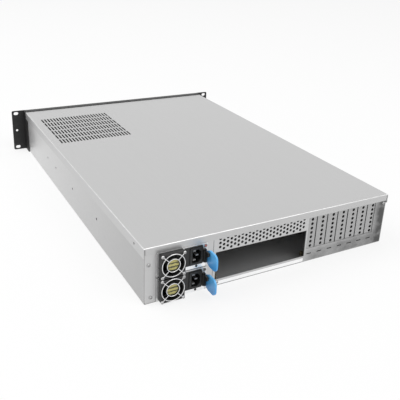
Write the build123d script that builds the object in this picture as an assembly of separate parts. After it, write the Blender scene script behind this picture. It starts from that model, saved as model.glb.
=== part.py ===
# A 2U rackmount server case with two plug-in power supply modules.
# Millimetres. +X is the photograph's left side, +Y points to the rear, +Z up.
# The origin is on the floor, under the middle of the whole length and width.
# The rear wall holds the module bay, the connector aperture and the card slots side by
# side, so a narrower body gets fewer slots.

import math
import os
from build123d import *

# Case body
BODY_WIDTH = 430.0
BODY_HEIGHT = 87.0
DEPTH = 660.0
SHEET = 1.2
BEND = 2.0
SEAT = 0.2
LID_FLANGE = 15.0
LID_LIP = 10.8
LIP_GAP = 0.3
LID_TRAVEL = 12.0
LID_SCREW_SETBACK = 32.0
LID_SCREW_HOLE = 3.6
LID_SCREW_PILOT = 2.6
RETURN_WIDTH = 12.0
RAIL_HOLE = 4.4
RAIL_HOLE_DROP = 1.5
RAIL_HOLE_SETBACKS = [183.6, 240.6, 345.6, 471.2]
PANEL_RETURN = 10.0
NOTCH_RADIUS = 8.0

# Hooks that hold the lid down
HOOK_SETBACKS = [92.4, 330.0, 567.6]
HOOK_NECK = 6.0
HOOK_FOOT = 6.0
HOOK_WIDTH = 5.0
HOOK_SLOT = 7.0
HOOK_GAP = 0.5

# Rack flanges and front panel, to the 19 inch standard for two units
EAR_WIDTH = 26.3
EAR_RISE = 1.1
EAR_SHEET = 2.0
EAR_CORNER = 3.0
EAR_FLANGE_DEPTH = 27.0
EAR_SCREW_SETBACK = 18.0
EAR_SCREW_HEIGHTS = (18.0, 54.0)
COUNTERSINK = 1.4
RACK_HOLE_EDGE = 8.75
RACK_HOLE_MARGIN = 5.95
RACK_SLOT_LENGTH = 10.0
RACK_SLOT_WIDTH = 6.8
EAR_MID_HOLE = 5.0
PANEL_SHEET = 1.5
BAND_DEPTH = 14.5
BAND_GAP = 0.5
GRILLE_X = 20.0
GRILLE_COUNT = 26
GRILLE_PITCH = 9.0
GRILLE_SLOT = 4.0
GRILLE_MARGIN = 12.5

# Rear apertures: connectors, card slots and the pierced field
IO_WIDTH = 158.75
IO_HEIGHT = 44.45
IO_SILL = 10.4
IO_GAP = 14.85
IO_WEB = 2.6
SLOT_GAP = 9.2
SLOT_PITCH = 20.32
SLOT_SIDE_ROOM = 16.0
SLOT_SILL = 22.0
SLOT_HEADROOM = 9.4
COVER_WIDTH = 18.4
COVER_SHEET = 0.9
COVER_TONGUE = 7.0
COVER_LAP = 2.0
COVER_TAB = 11.5
COVER_HOLE = 5.0
COVER_HOLES = 7
COVER_HOLE_MARGIN = 2.9
COVER_HOLE_SHIFT = 1.7
COVER_HOLE_DROP = 1.3
TAB_SLOT_DROP = 9.0
TAB_SLOT_RISE = 1.6
LEDGE_RISE = 1.5
LEDGE_DEPTH = 13.0
LEDGE_APRON = 9.0
LEDGE_FOOT = 2.6
LEDGE_ROOM = 1.2
SLOT_SCREW_REACH = 7.0
PERF_HOLE = 4.3
PERF_PITCH_X = 6.07
PERF_PITCH_Z = 6.5
PERF_SIDE = 6.0
PERF_LIFT = 4.0

# Cooling slots in the lid
VENT_COLUMNS = 23
VENT_ROWS = 6
VENT_PITCH = 6.25
VENT_ROW_PITCH = 26.6
VENT_SLOT_WIDTH = 3.2
VENT_SLOT_LENGTH = 22.4
VENT_INSET = 87.0
VENT_SETBACK = 156.0

# Power supply bay
BAY_INSET = 18.4
SHELF_SHEET = 1.0
BAY_FLANGE = 9.0
CAGE_TAIL = 8.0
SOCKET_WIDTH = 52.0
SOCKET_HEIGHT = 9.0
SOCKET_DEPTH = 7.0
SOCKET_WALL = 3.0
SOCKET_MOUTH = 2.6

# Power module
MODULE_WIDTH = 77.0
MODULE_LENGTH = 190.0
MODULE_SHEET = 1.0
MODULE_PROUD = 0.6
MODULE_CORNER = 0.8
FACE_MARGIN = 0.2
SIDE_SLOTS = 8
SIDE_SLOT_PITCH = 9.0
SIDE_SLOT_WIDTH = 4.0
SIDE_SLOT_RISE = 22.0
SIDE_SLOT_SETBACK = 20.0
EDGE_BOARD_RISE = 8.5
EDGE_BOARD_LENGTH = 89.0
EDGE_BOARD_MARGIN = 2.0
EDGE_TONGUE_WIDTH = 45.0
EDGE_TONGUE = 5.0
BOARD_POST = 4.0
BOARD_POST_INSET = 6.0
BOARD_SHEET = 1.6

# Module's fan with its finger guard
SMALL_FAN_EDGE = 0.3
SMALL_FAN_DEPTH = 8.0
SMALL_FAN_DUCT = 14.0
SMALL_FAN_OFFSET = 21.4
SMALL_FAN_RIM = 2.6
SMALL_HUB = 10.0
SMALL_PLATE = 9.0
SMALL_PLATE_DEPTH = 2.0
SMALL_FAN_CORNER = 2.4
SMALL_FAN_HOLE_INSET = 1.908
SMALL_ROTOR_LIFT = 2.8
SMALL_ROTOR_END = 1.4
SMALL_BLADE_GAP = 0.7
SMALL_BLADES = 5
DUCT_WALL = 1.2
GUARD_SHEET = 1.0
GUARD_WIRE = 1.4
GUARD_RING_OVER = 1.0
GUARD_INNER_RING = 11.2
GUARD_INNER_WIRE = 0.9
GUARD_EYE = 2.3
GUARD_SCREW = 1.8
GUARD_SCREW_HEAD = 4.0
GUARD_SCREW_LENGTH = 6.0
GUARD_SCREW_GAP = 0.072

# Module's mains inlet
INLET_WIDTH = 20.0
INLET_HEIGHT = 26.5
INLET_OFFSET = 59.2
INLET_RISE = 1.6
INLET_DEPTH = 17.0
INLET_FLANGE = 2.0
INLET_FLANGE_LAP = 1.5
INLET_WALL = 3.3
INLET_CUT = 4.0
PIN_WIDTH = 4.0
PIN_SHEET = 2.0
PIN_LENGTH = 19.0
PIN_TAIL = 3.0
PIN_SEAT = 0.02
PIN_ROW = 7.0
PIN_STAGGER = 2.0

# Module's pull tab and squeeze latch
HANDLE_REACH = 31.0
HANDLE_HEIGHT = 25.0
HANDLE_ROOT = 13.0
HANDLE_DROP = 1.5
HANDLE_SHEET = 2.4
HANDLE_EDGE = 0.3
HANDLE_CORNER = 8.0
LATCH_HEIGHT = 17.0
LATCH_SHEET = 2.2
LATCH_ARM = 12.0
LATCH_TAIL = 15.0
LATCH_PAD = 5.0
LATCH_STEP = 7.0
LATCH_ROOM = 1.7
LATCH_HINGE = 2.4
LATCH_KNUCKLE = 1.9
LATCH_PIN = 0.9
LATCH_EAR = 1.2
LATCH_EAR_HALF = 2.0

# Cooling wall across the middle
WALL_FANS = 4
WALL_FAN_DEPTH = 25.0
WALL_FAN_FOOT = 1.0
WALL_FAN_HEADROOM = 3.6
WALL_FAN_SIDE = 16.4
WALL_FAN_RIM = 1.8
WALL_HOLE_RIM = 3.0
WALL_HUB = 18.0
WALL_PLATE = 17.0
WALL_PLATE_DEPTH = 3.0
WALL_FAN_CORNER = 3.0
WALL_ROTOR_LIFT = 4.0
WALL_ROTOR_END = 1.5
WALL_BLADE_GAP = 1.2
WALL_BLADES = 7
WALL_FLANGE = 14.0
WALL_SETBACK = 285.0
WALL_FAN_HOLE = 4.32
WALL_FAN_HOLE_INSET = 4.24
STRUT = 2.4
SHAFT = 3.0
HUB_ROUND = 1.2
BLADE_SHEET = 1.0
BLADE_ROOT_PITCH = 38.0
BLADE_TIP_PITCH = 58.0
BLADE_SHARE = 0.92
BLADE_MOST = 1.35

# Disk cage behind the front panel
DISK_WIDTH = 101.6
DISK_HEIGHT = 26.1
DISK_GAP = 0.5
DISK_STEP = 2.0
DISK_FOOT = 4.0
DISK_LEDGE = 8.0
DISK_LEDGE_DROP = 1.5
DISK_FLANGE = 12.0
DISK_BAYS = 2
DISK_CAGE_LENGTH = 150.0
DISK_CAGE_SETBACK = 80.0
DISK_HOLE_RISE = 6.35
DISK_HOLES = (30.0, 131.6)
DISK_SLOT = 9.0
DISK_SLOT_WIDTH = 3.6
DISK_WINDOW = (70.0, 110.0)

# Front controls
CONTROL_INSET = 37.0
CONTROL_BOARD_SETBACK = 16.0
CONTROL_BOARD_WIDTH = 32.0
CONTROL_BOARD_HEIGHT = 68.0
CONTROL_BOARD_DROP = 1.5
SPACER = 5.0
SPACER_INSET = 3.5
POWER_DIAMETER = 12.0
POWER_RISE = 20.5
RESET_DIAMETER = 6.0
RESET_RISE = 3.5
BUTTON_TRAVEL = 1.0
BUTTON_GAP = 0.3
BUTTON_COLLAR = 1.4
BUTTON_STEM = 4.0
SWITCH_SIZE = 8.0
SWITCH_RISE = 5.0
LIGHT_DIAMETER = 3.0
LIGHT_PITCH = 8.0
LIGHT_DROP = 8.5
LIGHT_BAR = 4.0
LIGHT_BAR_SETBACK = 6.0
LIGHT_BAR_DEPTH = 3.0
LIGHT_LEG = 2.4
USB_WIDTH = 14.6
USB_HEIGHT = 14.4
USB_DROP = 23.5
USB_MOUTH = (13.0, 5.2)
USB_MOUTH_DEPTH = 11.0
USB_TONGUE = (11.2, 1.8)
USB_TONGUE_SETBACK = 2.5
USB_STEP = 6.8

# Main board seats, on the usual hole pattern
BOARD_EDGE = 9.55
BOARD_SETBACK = 16.5
BOARD_COLUMNS = (0.0, 157.48, 281.94)
BOARD_ROWS = (0.0, 154.94, 227.33)
BOARD_SIDE_ROOM = 12.0
STANDOFF_RISE = 6.35
STANDOFF_DIAMETER = 6.0
STANDOFF_BORE = 2.5

# Fits and fasteners
SLIDE_GAP = 0.2
SHAFT_GAP = 0.05
PROUD = 0.3
SCREW_HEAD = 5.6
SCREW_HEAD_RISE = 1.6
SCREW_SHANK = 3.0
REAR_SCREW_LENGTH = 2.6
HIGH_SCREW = (8.0, 16.2)
LOW_SCREW = (11.5, 7.8)
SILL_SCREW = (3.5, 4.6)
FAR_SCREW = (6.5, 4.2)
SLOT_SCREW_LENGTH = 4.0

# Reference planes worked out from the driving dimensions
FRONT = -(DEPTH + HANDLE_REACH) / 2
REAR = FRONT + DEPTH
HALF = BODY_WIDTH / 2
WALL_OUT = HALF - SHEET - SEAT
WALL_IN = WALL_OUT - SHEET
LID_TOP = BODY_HEIGHT
LID_UNDER = LID_TOP - SHEET
LIP_LOW = LID_TOP - LID_LIP
BODY_MIDDLE = BODY_HEIGHT / 2
PANEL_OUT = REAR - SHEET - LIP_GAP
PANEL_IN = PANEL_OUT - SHEET
LID_FRONT = FRONT + BAND_DEPTH + BAND_GAP
LID_SCREW_Y = REAR - LID_SCREW_SETBACK
LID_SCREW_Z = LID_TOP - LID_FLANGE / 2
HOOK_PLACES = [FRONT + setback for setback in HOOK_SETBACKS]

RACK_WIDTH = BODY_WIDTH + 2 * EAR_WIDTH
RACK_HEIGHT = BODY_HEIGHT + EAR_RISE
RACK_HOLE_SPAN = RACK_WIDTH - 2 * RACK_HOLE_EDGE
RACK_HOLE_RISE = RACK_HEIGHT - 2 * RACK_HOLE_MARGIN
EAR_SCREW_Y = FRONT + EAR_SCREW_SETBACK

BAY_LEFT = HALF - BAY_INSET
BAY_RIGHT = BAY_LEFT - MODULE_WIDTH - 2 * SLIDE_GAP
BAY_X = (BAY_LEFT + BAY_RIGHT) / 2
MODULE_HEIGHT = (LIP_LOW - SHEET - SHELF_SHEET - 4 * SLIDE_GAP) / 2
MODULE_FACE = REAR + MODULE_PROUD
MODULE_FRONT = MODULE_FACE - MODULE_LENGTH
MODULE_LEFT = BAY_LEFT - SLIDE_GAP
MODULE_RIGHT = MODULE_LEFT - MODULE_WIDTH
MODULE_FLOORS = [SHEET + SLIDE_GAP, SHEET + MODULE_HEIGHT + SHELF_SHEET + 3 * SLIDE_GAP]
CAGE_FRONT = MODULE_FRONT - CAGE_TAIL
SMALL_FAN = MODULE_HEIGHT - 2 * SMALL_FAN_EDGE
SMALL_BORE = SMALL_FAN / 2 - SMALL_FAN_RIM
GUARD_SPAN = SMALL_FAN - 2 * SMALL_FAN_HOLE_INSET

IO_LEFT = BAY_RIGHT - IO_GAP
IO_RIGHT = IO_LEFT - IO_WIDTH
IO_TOP = IO_SILL + IO_HEIGHT
BOARD_EDGE_X = IO_LEFT - BOARD_EDGE
BOARD_REACH = BOARD_EDGE_X + WALL_IN - BOARD_SIDE_ROOM
SLOT_FIRST = IO_RIGHT - SLOT_GAP
SLOT_TOP = BODY_HEIGHT - SLOT_HEADROOM
SLOT_COUNT = int((SLOT_FIRST + SLOT_PITCH / 2 + HALF - SLOT_SIDE_ROOM) / SLOT_PITCH)
SLOT_CENTRES = [SLOT_FIRST - SLOT_PITCH * k for k in range(SLOT_COUNT)]
WINDOW_LEFT = IO_RIGHT - IO_WEB
WINDOW_RIGHT = SLOT_CENTRES[-1] - (WINDOW_LEFT - SLOT_FIRST)
COVERS_LEFT = SLOT_FIRST + COVER_WIDTH / 2
COVERS_RIGHT = SLOT_CENTRES[-1] - COVER_WIDTH / 2
COVER_HOLE_PITCH = (SLOT_TOP - SLOT_SILL - COVER_HOLE_MARGIN) / COVER_HOLES
LEDGE_TOP = SLOT_TOP + LEDGE_RISE
SLOT_SCREW_Y = PANEL_IN - COVER_SHEET - SLOT_SCREW_REACH
PERF_COLUMNS = int((IO_WIDTH - PERF_SIDE) / PERF_PITCH_X)
PERF_ROWS = int((LIP_LOW - IO_TOP - PERF_LIFT) / PERF_PITCH_Z) + 1
REAR_SCREWS = [(HALF - HIGH_SCREW[0], LIP_LOW - HIGH_SCREW[1]),
               (HALF - LOW_SCREW[0], SHEET + LOW_SCREW[1]),
               (IO_LEFT - SILL_SCREW[0], SHEET + SILL_SCREW[1]),
               (FAR_SCREW[0] - HALF, LIP_LOW - FAR_SCREW[1])]

VENT_X = HALF - VENT_INSET
VENT_Y = FRONT + VENT_SETBACK
WALL_FAN = LID_UNDER - SHEET - WALL_FAN_FOOT - WALL_FAN_HEADROOM
WALL_FAN_Z = SHEET + WALL_FAN_FOOT + WALL_FAN / 2
WALL_FAN_PITCH = 2 * (WALL_IN - WALL_FAN_SIDE) / WALL_FANS
WALL_Y = FRONT + WALL_SETBACK
CONTROL_X = CONTROL_INSET - HALF
CONTROL_BOARD_Z = BODY_MIDDLE - CONTROL_BOARD_DROP
BOARD_NEAR = FRONT + CONTROL_BOARD_SETBACK


def rect(u0, u1, v0, v1):
    """A rectangle given by its sides."""
    return Pos((u0 + u1) / 2, (v0 + v1) / 2) * Rectangle(abs(u1 - u0), abs(v1 - v0))


def upright(profile, y0, y1):
    """A profile in x and z, made solid from y0 to y1."""
    return extrude(Plane.XZ.offset(-y1) * profile, y1 - y0)


def lying(profile, z0, z1):
    """A profile in x and y, made solid from z0 to z1."""
    return extrude(Plane.XY.offset(z0) * profile, z1 - z0)


def sideways(profile, x0, x1):
    """A profile in y and z, made solid from x0 to x1."""
    return extrude(Plane.YZ.offset(x0) * profile, x1 - x0)


def block(x0, x1, y0, y1, z0, z1):
    """A rectangular block given by its faces."""
    return lying(rect(x0, x1, y0, y1), z0, z1)


def rod_x(x0, x1, y, z, radius):
    return sideways(Pos(y, z) * Circle(radius), x0, x1)


def rod_y(y0, y1, x, z, radius):
    return upright(Pos(x, z) * Circle(radius), y0, y1)


def rod_z(z0, z1, x, y, radius):
    return lying(Pos(x, y) * Circle(radius), z0, z1)


def grid(count, pitch):
    """Places of a row of count, centred on zero."""
    return [pitch * (k - (count - 1) / 2) for k in range(count)]


FAN_CENTRES = grid(WALL_FANS, WALL_FAN_PITCH)


def save(name, shape):
    """Write one sub-part, or a group of alike loose pieces, under its own name."""
    solids = shape if isinstance(shape, list) else [shape]
    pieces = [solid for piece in solids for solid in piece.solids()]
    export_step(pieces[0] if len(pieces) == 1 else Compound(children=pieces), f"parts/{name}.step")


# Case body

def chassis_tray():
    """Floor and side walls, one folded sheet with inward returns along the top."""
    outer = fillet(rect(-WALL_OUT, WALL_OUT, 0, LID_UNDER).vertices(), BEND)
    inner = fillet(rect(-WALL_IN, WALL_IN, SHEET, LID_UNDER - SHEET).vertices(), BEND - SHEET)
    mouth = rect(-WALL_IN + RETURN_WIDTH, WALL_IN - RETURN_WIDTH, BODY_MIDDLE, LID_UNDER + 1)
    tray = upright(outer - inner - mouth, FRONT + EAR_SHEET, PANEL_OUT)
    cuts = []
    for setback in RAIL_HOLE_SETBACKS:
        cuts.append(rod_x(-HALF, HALF, FRONT + setback, BODY_MIDDLE - RAIL_HOLE_DROP, RAIL_HOLE / 2))
    for z in EAR_SCREW_HEIGHTS:
        cuts.append(rod_x(-HALF, HALF, EAR_SCREW_Y, z, SCREW_SHANK / 2 + SHAFT_GAP))
    cuts.append(rod_x(-HALF, HALF, LID_SCREW_Y, LID_SCREW_Z, LID_SCREW_PILOT / 2))
    for side in (-1, 1):
        for y in HOOK_PLACES:
            x = side * (WALL_IN - RETURN_WIDTH / 2)
            cuts.append(block(x - HOOK_SLOT / 2, x + HOOK_SLOT / 2, y - HOOK_GAP,
                              y + HOOK_NECK + LID_TRAVEL + HOOK_GAP, LID_UNDER - 2 * SHEET, LID_UNDER + 1))
    cuts.append(rod_z(-1, SHEET + 1, BAY_X, PANEL_OUT + 3 * SHEET, NOTCH_RADIUS))
    cuts.append(block(-HALF, HALF, PANEL_OUT - BEND, REAR, LID_UNDER - BEND, LID_TOP))
    return tray - cuts


def cover_hook(side, y):
    """An L-shaped hook under the lid: its foot points forward under the return."""
    x = side * (WALL_IN - RETURN_WIDTH / 2)
    foot_top = LID_UNDER - SHEET - SEAT
    foot = rect(y - HOOK_FOOT, y + HOOK_NECK, foot_top - SHEET, foot_top)
    neck = rect(y, y + HOOK_NECK, foot_top - SHEET, LID_UNDER + SHEET / 2)
    return sideways(foot + neck, x - HOOK_WIDTH / 2, x + HOOK_WIDTH / 2)


def top_cover():
    """The lid: a sheet folded down at both sides and at the rear, with cooling slots."""
    low = LID_TOP - LID_FLANGE
    outer = block(-HALF, HALF, LID_FRONT, REAR, low, LID_TOP)
    edges = outer.edges().group_by(Axis.Z)[-1]
    folds = edges.filter_by(Axis.Y) + edges.filter_by(Axis.X).sort_by(Axis.Y)[-1:]
    outer = fillet(folds, BEND)
    inner = block(-HALF + SHEET, HALF - SHEET, LID_FRONT - 1, REAR - SHEET, low - 1, LID_UNDER)
    edges = inner.edges().group_by(Axis.Z)[-1]
    folds = edges.filter_by(Axis.Y) + edges.filter_by(Axis.X).sort_by(Axis.Y)[-1:]
    inner = fillet(folds, BEND - SHEET)
    lid = outer - inner
    lip_trim = block(-HALF + SHEET, HALF - SHEET, REAR - 2 * SHEET, REAR + 1, low - 1, LIP_LOW)
    relief_x = HALF - 1.6 * SHEET
    corner_reliefs = [block(side * relief_x - SHEET / 2, side * relief_x + SHEET / 2,
                            REAR - SHEET - 0.1, REAR + 1, LIP_LOW - 1, LID_TOP - BEND) for side in (-1, 1)]
    slots = [Pos(VENT_X + x, VENT_Y + y) * Rectangle(VENT_SLOT_WIDTH, VENT_SLOT_LENGTH)
             for x in grid(VENT_COLUMNS, VENT_PITCH) for y in grid(VENT_ROWS, VENT_ROW_PITCH)]
    vent = lying(Sketch() + slots, LID_UNDER - 1, LID_TOP + 1)
    screw_holes = rod_x(-HALF - 1, HALF + 1, LID_SCREW_Y, LID_SCREW_Z, LID_SCREW_HOLE / 2)
    lid = lid - [lip_trim, vent, screw_holes] - corner_reliefs
    return lid + [cover_hook(side, y) for side in (-1, 1) for y in HOOK_PLACES]


def perforation():
    """Staggered round holes above the connector aperture."""
    middle = (IO_LEFT + IO_RIGHT) / 2
    low = IO_TOP + PERF_LIFT
    holes = []
    for k, x in enumerate(grid(PERF_COLUMNS, PERF_PITCH_X)):
        rise = 0 if k % 2 else PERF_PITCH_Z / 2
        holes += [Pos(middle - x, low + rise + PERF_PITCH_Z * row) * Circle(PERF_HOLE / 2)
                  for row in range(PERF_ROWS)]
    return holes


def rear_panel():
    """The rear wall: one sheet with its apertures, and returns seated in the tray."""
    top = LID_UNDER - 2 * SEAT
    face = rect(-WALL_IN, WALL_IN, SHEET, top)
    face = fillet(face.vertices().group_by(Axis.Y)[0], BEND)
    notch_low = LID_UNDER - SHEET - BEND
    notches = [rect(side * (WALL_IN - RETURN_WIDTH - SEAT), side * (WALL_IN + 1), notch_low, top + 1)
               for side in (-1, 1)]
    bay = rect(BAY_RIGHT, BAY_LEFT, SHEET - 1, LIP_LOW + SLIDE_GAP)
    connectors = rect(IO_RIGHT, IO_LEFT, IO_SILL, IO_TOP)
    window = rect(WINDOW_RIGHT, WINDOW_LEFT, SLOT_SILL, SLOT_TOP)
    tab_slots = [Pos(x, SLOT_SILL - TAB_SLOT_DROP) * Rectangle(COVER_WIDTH / 2, TAB_SLOT_RISE)
                 for x in SLOT_CENTRES]
    screws = [Pos(x, z) * Circle(SCREW_SHANK / 2 + SHAFT_GAP) for x, z in REAR_SCREWS]
    sheet = face - [bay, connectors, window] - notches - tab_slots - perforation() - screws
    panel = upright(sheet, PANEL_IN, PANEL_OUT)
    edge = top - SHEET
    walls = [block(side * (WALL_IN - SHEET), side * WALL_IN, PANEL_IN - PANEL_RETURN, PANEL_IN,
                   SHEET + BEND, edge - 2 * BEND) for side in (-1, 1)]
    near = PANEL_IN - PANEL_RETURN + 1
    foot = block(-WALL_IN + 2 * BEND, BAY_RIGHT - PANEL_RETURN - BEND, near, PANEL_IN, SHEET, 2 * SHEET)
    brow = block(WINDOW_LEFT + 2 * BEND, BAY_RIGHT - PANEL_RETURN - BEND, near, PANEL_IN, edge, top)
    return panel + walls + [foot, brow]


def front_panel():
    """The black front sheet with its top band, returns, grille slots and control holes."""
    face = rect(-WALL_OUT, WALL_OUT, PROUD, RACK_HEIGHT)
    slots = [Pos(GRILLE_X + x, BODY_MIDDLE) * Rectangle(GRILLE_SLOT, BODY_HEIGHT - 2 * GRILLE_MARGIN)
             for x in grid(GRILLE_COUNT, GRILLE_PITCH)]
    power, reset, lights, usb = control_places()
    holes = [Pos(*power) * Circle(POWER_DIAMETER / 2 + BUTTON_GAP),
             Pos(*reset) * Circle(RESET_DIAMETER / 2 + BUTTON_GAP),
             Pos(*usb) * Rectangle(USB_WIDTH + 2 * SEAT, USB_HEIGHT + 2 * SEAT)]
    holes += [Pos(x, z) * Circle(LIGHT_DIAMETER / 2 + SEAT) for x, z in lights]
    plate = upright(face - slots - holes, FRONT, FRONT + PANEL_SHEET)
    band = block(-WALL_OUT, WALL_OUT, FRONT, FRONT + BAND_DEPTH, RACK_HEIGHT - PANEL_SHEET, RACK_HEIGHT)
    bend = 0.8 * PANEL_SHEET
    band = fillet(band.edges().filter_by(Axis.X).group_by(Axis.Z)[-1].sort_by(Axis.Y)[:1], bend)
    trim = block(-HALF, HALF, FRONT - 1, FRONT + bend, RACK_HEIGHT - bend, RACK_HEIGHT + 1)
    foot = block(-WALL_IN + BEND, WALL_IN - BEND, FRONT, FRONT + BAND_DEPTH, SHEET, SHEET + PANEL_SHEET)
    cheeks = [block(side * (WALL_IN - PANEL_SHEET), side * WALL_IN, FRONT, FRONT + BAND_DEPTH,
                    SHEET + BEND, LID_UNDER - 2 * SHEET) for side in (-1, 1)]
    return (plate - trim) + [band, foot] + cheeks


def rack_ear(side):
    """One black rack flange: an angle bracket with slotted rack holes."""
    plate = rect(WALL_OUT + SEAT, RACK_WIDTH / 2, 0, RACK_HEIGHT)
    plate = fillet(plate.vertices().group_by(Axis.X)[-1], EAR_CORNER)
    middle = RACK_HEIGHT / 2
    slots = [Pos(RACK_HOLE_SPAN / 2, middle + z) * SlotOverall(RACK_SLOT_LENGTH, RACK_SLOT_WIDTH)
             for z in grid(2, RACK_HOLE_RISE)]
    centre_hole = Pos(RACK_HOLE_SPAN / 2, middle) * Circle(EAR_MID_HOLE / 2)
    ear = upright(plate - slots - centre_hole, FRONT, FRONT + EAR_SHEET)
    flange = (rect(FRONT, FRONT + EAR_FLANGE_DEPTH, 0, LID_TOP - LID_FLANGE - BAND_GAP)
              + rect(FRONT, FRONT + BAND_DEPTH, 0, RACK_HEIGHT - SHEET))
    flange = sideways(flange, WALL_OUT, WALL_OUT + EAR_SHEET)
    for z in EAR_SCREW_HEIGHTS:
        flange -= rod_x(WALL_OUT - 1, HALF + EAR_SHEET, EAR_SCREW_Y, z, SCREW_SHANK / 2 + SHAFT_GAP)
        flange -= countersink(z, SHAFT_GAP)
    notch = block(WALL_OUT - 1, WALL_OUT + SEAT, FRONT - 1, FRONT + EAR_SHEET, -1, RACK_HEIGHT + 1)
    ear = (ear + flange) - notch
    return ear if side > 0 else mirror(ear, about=Plane.YZ)


def countersink(z, gap):
    """The cone that a flush screw head sits in, on the outside of the flange."""
    cone = Cone(SCREW_SHANK / 2 + gap, SCREW_HEAD / 2 + gap, COUNTERSINK)
    return Pos(WALL_OUT + EAR_SHEET - COUNTERSINK / 2, EAR_SCREW_Y, z) * (Rot(Y=90) * cone)


def ear_screws():
    """Four flush screws that hold the flanges to the side walls."""
    left = []
    for z in EAR_SCREW_HEIGHTS:
        shank = rod_x(WALL_IN - SCREW_SHANK, WALL_OUT + EAR_SHEET - COUNTERSINK / 2, EAR_SCREW_Y, z,
                      SCREW_SHANK / 2)
        left.append(shank + countersink(z, 0.0))
    return left + [mirror(screw, about=Plane.YZ) for screw in left]


def rear_panel_screws():
    """Pan-head screws on the rear wall, pointing forward."""
    screws = []
    for x, z in REAR_SCREWS:
        head = rod_y(PANEL_OUT, PANEL_OUT + SCREW_HEAD_RISE, x, z, SCREW_HEAD / 2)
        head = fillet(head.edges().sort_by(Axis.Y)[-1], SCREW_HEAD_RISE / 2.5)
        screws.append(head + rod_y(PANEL_OUT - REAR_SCREW_LENGTH, PANEL_OUT, x, z, SCREW_SHANK / 2))
    return screws


# Expansion slots

def slot_ledge():
    """The bar inside the window that the slot covers are screwed to, with a foot at each end."""
    near = PANEL_IN - COVER_SHEET - SEAT
    left = COVERS_LEFT + LEDGE_ROOM + LEDGE_FOOT
    right = COVERS_RIGHT - LEDGE_ROOM - LEDGE_FOOT
    low = LEDGE_TOP - LEDGE_APRON
    shelf = block(right, left, near - LEDGE_DEPTH, near, LEDGE_TOP - SHEET, LEDGE_TOP)
    apron = block(right, left, near - LEDGE_DEPTH, near - LEDGE_DEPTH + SHEET, low, LEDGE_TOP)
    feet = [block(x0, x0 + LEDGE_FOOT, near - 1, PANEL_IN, low, LEDGE_TOP)
            for x0 in (right, left - LEDGE_FOOT)]
    holes = [rod_z(low, LEDGE_TOP + 1, x, SLOT_SCREW_Y, SCREW_SHANK / 2 + SHAFT_GAP) for x in SLOT_CENTRES]
    return (shelf + [apron] + feet) - holes


def slot_cover(x):
    """One folded cover: a pierced face, a tongue at its foot and a screw tab at its top."""
    half = COVER_WIDTH / 2
    face = rect(x - half, x + half, SLOT_SILL - COVER_LAP, LEDGE_TOP + COVER_SHEET)
    tongue = rect(x - half / 2, x + half / 2, SLOT_SILL - COVER_TONGUE, SLOT_SILL)
    middle = (SLOT_SILL + SLOT_TOP) / 2 - COVER_HOLE_DROP
    holes = [Pos(x - COVER_HOLE_SHIFT, middle + z) * Circle(COVER_HOLE / 2)
             for z in grid(COVER_HOLES, COVER_HOLE_PITCH)]
    face = upright((face + tongue) - holes, PANEL_IN - COVER_SHEET, PANEL_IN)
    tab = rect(x - half, x + half, PANEL_IN - COVER_TAB, PANEL_IN)
    hole = Pos(x, SLOT_SCREW_Y) * Circle(SCREW_SHANK / 2 + SEAT)
    tab = lying(tab - hole, LEDGE_TOP, LEDGE_TOP + COVER_SHEET)
    cover = face + tab
    bend = cover.edges().filter_by(Axis.X).group_by(Axis.Z)[-1].sort_by(Axis.Y)[-1]
    return fillet(bend, COVER_SHEET * 0.8)


def slot_screws():
    """The screws of the slot covers, pointing down."""
    seat = LEDGE_TOP + COVER_SHEET
    screws = []
    for x in SLOT_CENTRES:
        head = rod_z(seat, seat + SCREW_HEAD_RISE, x, SLOT_SCREW_Y, SCREW_HEAD / 2)
        screws.append(head + rod_z(seat - SLOT_SCREW_LENGTH, seat, x, SLOT_SCREW_Y, SCREW_SHANK / 2))
    return screws


def board_standoffs():
    """Hexagonal standoffs on the usual main board hole pattern, as many columns as the body holds."""
    hexagon = RegularPolygon(STANDOFF_DIAMETER / 2, 6) - Circle(STANDOFF_BORE / 2)
    rear = PANEL_OUT - BOARD_SETBACK
    return [lying(Pos(BOARD_EDGE_X - column, rear - row) * hexagon, SHEET, SHEET + STANDOFF_RISE)
            for column in BOARD_COLUMNS if column < BOARD_REACH for row in BOARD_ROWS]


# Fans

def fan_frame(x, z, y0, depth, size, bore, plate, corner, plate_depth, span, hole, duct=0.0):
    """A square fan frame from y0 to y0 + depth, with a duct that reaches forward of y0.

    Four struts carry the motor plate at the forward end, which holds the rotor's shaft. The
    screw holes in its corners lie span apart, and hole is their radius.
    """
    square = fillet((Rectangle(size, size)).vertices(), corner)
    holes = [Pos(u, v) * Circle(hole) for u in grid(2, span) for v in grid(2, span)]
    frame = upright(Pos(x, z) * (square - Circle(bore) - holes), y0, y0 + depth)
    if duct:
        ring = Circle(bore + DUCT_WALL) - Circle(bore)
        frame += upright(Pos(x, z) * ring, y0 - duct, y0 + 1)
    struts = [Rot(Z=angle) * Rectangle(2 * bore + 1, STRUT) for angle in (45, 135)]
    spider = (Sketch() + struts + Circle(plate)) - Circle(SHAFT / 2 + SHAFT_GAP)
    spider &= Circle(bore + 0.5)
    return frame + upright(Pos(x, z) * spider, y0 - duct, y0 - duct + plate_depth)


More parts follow.
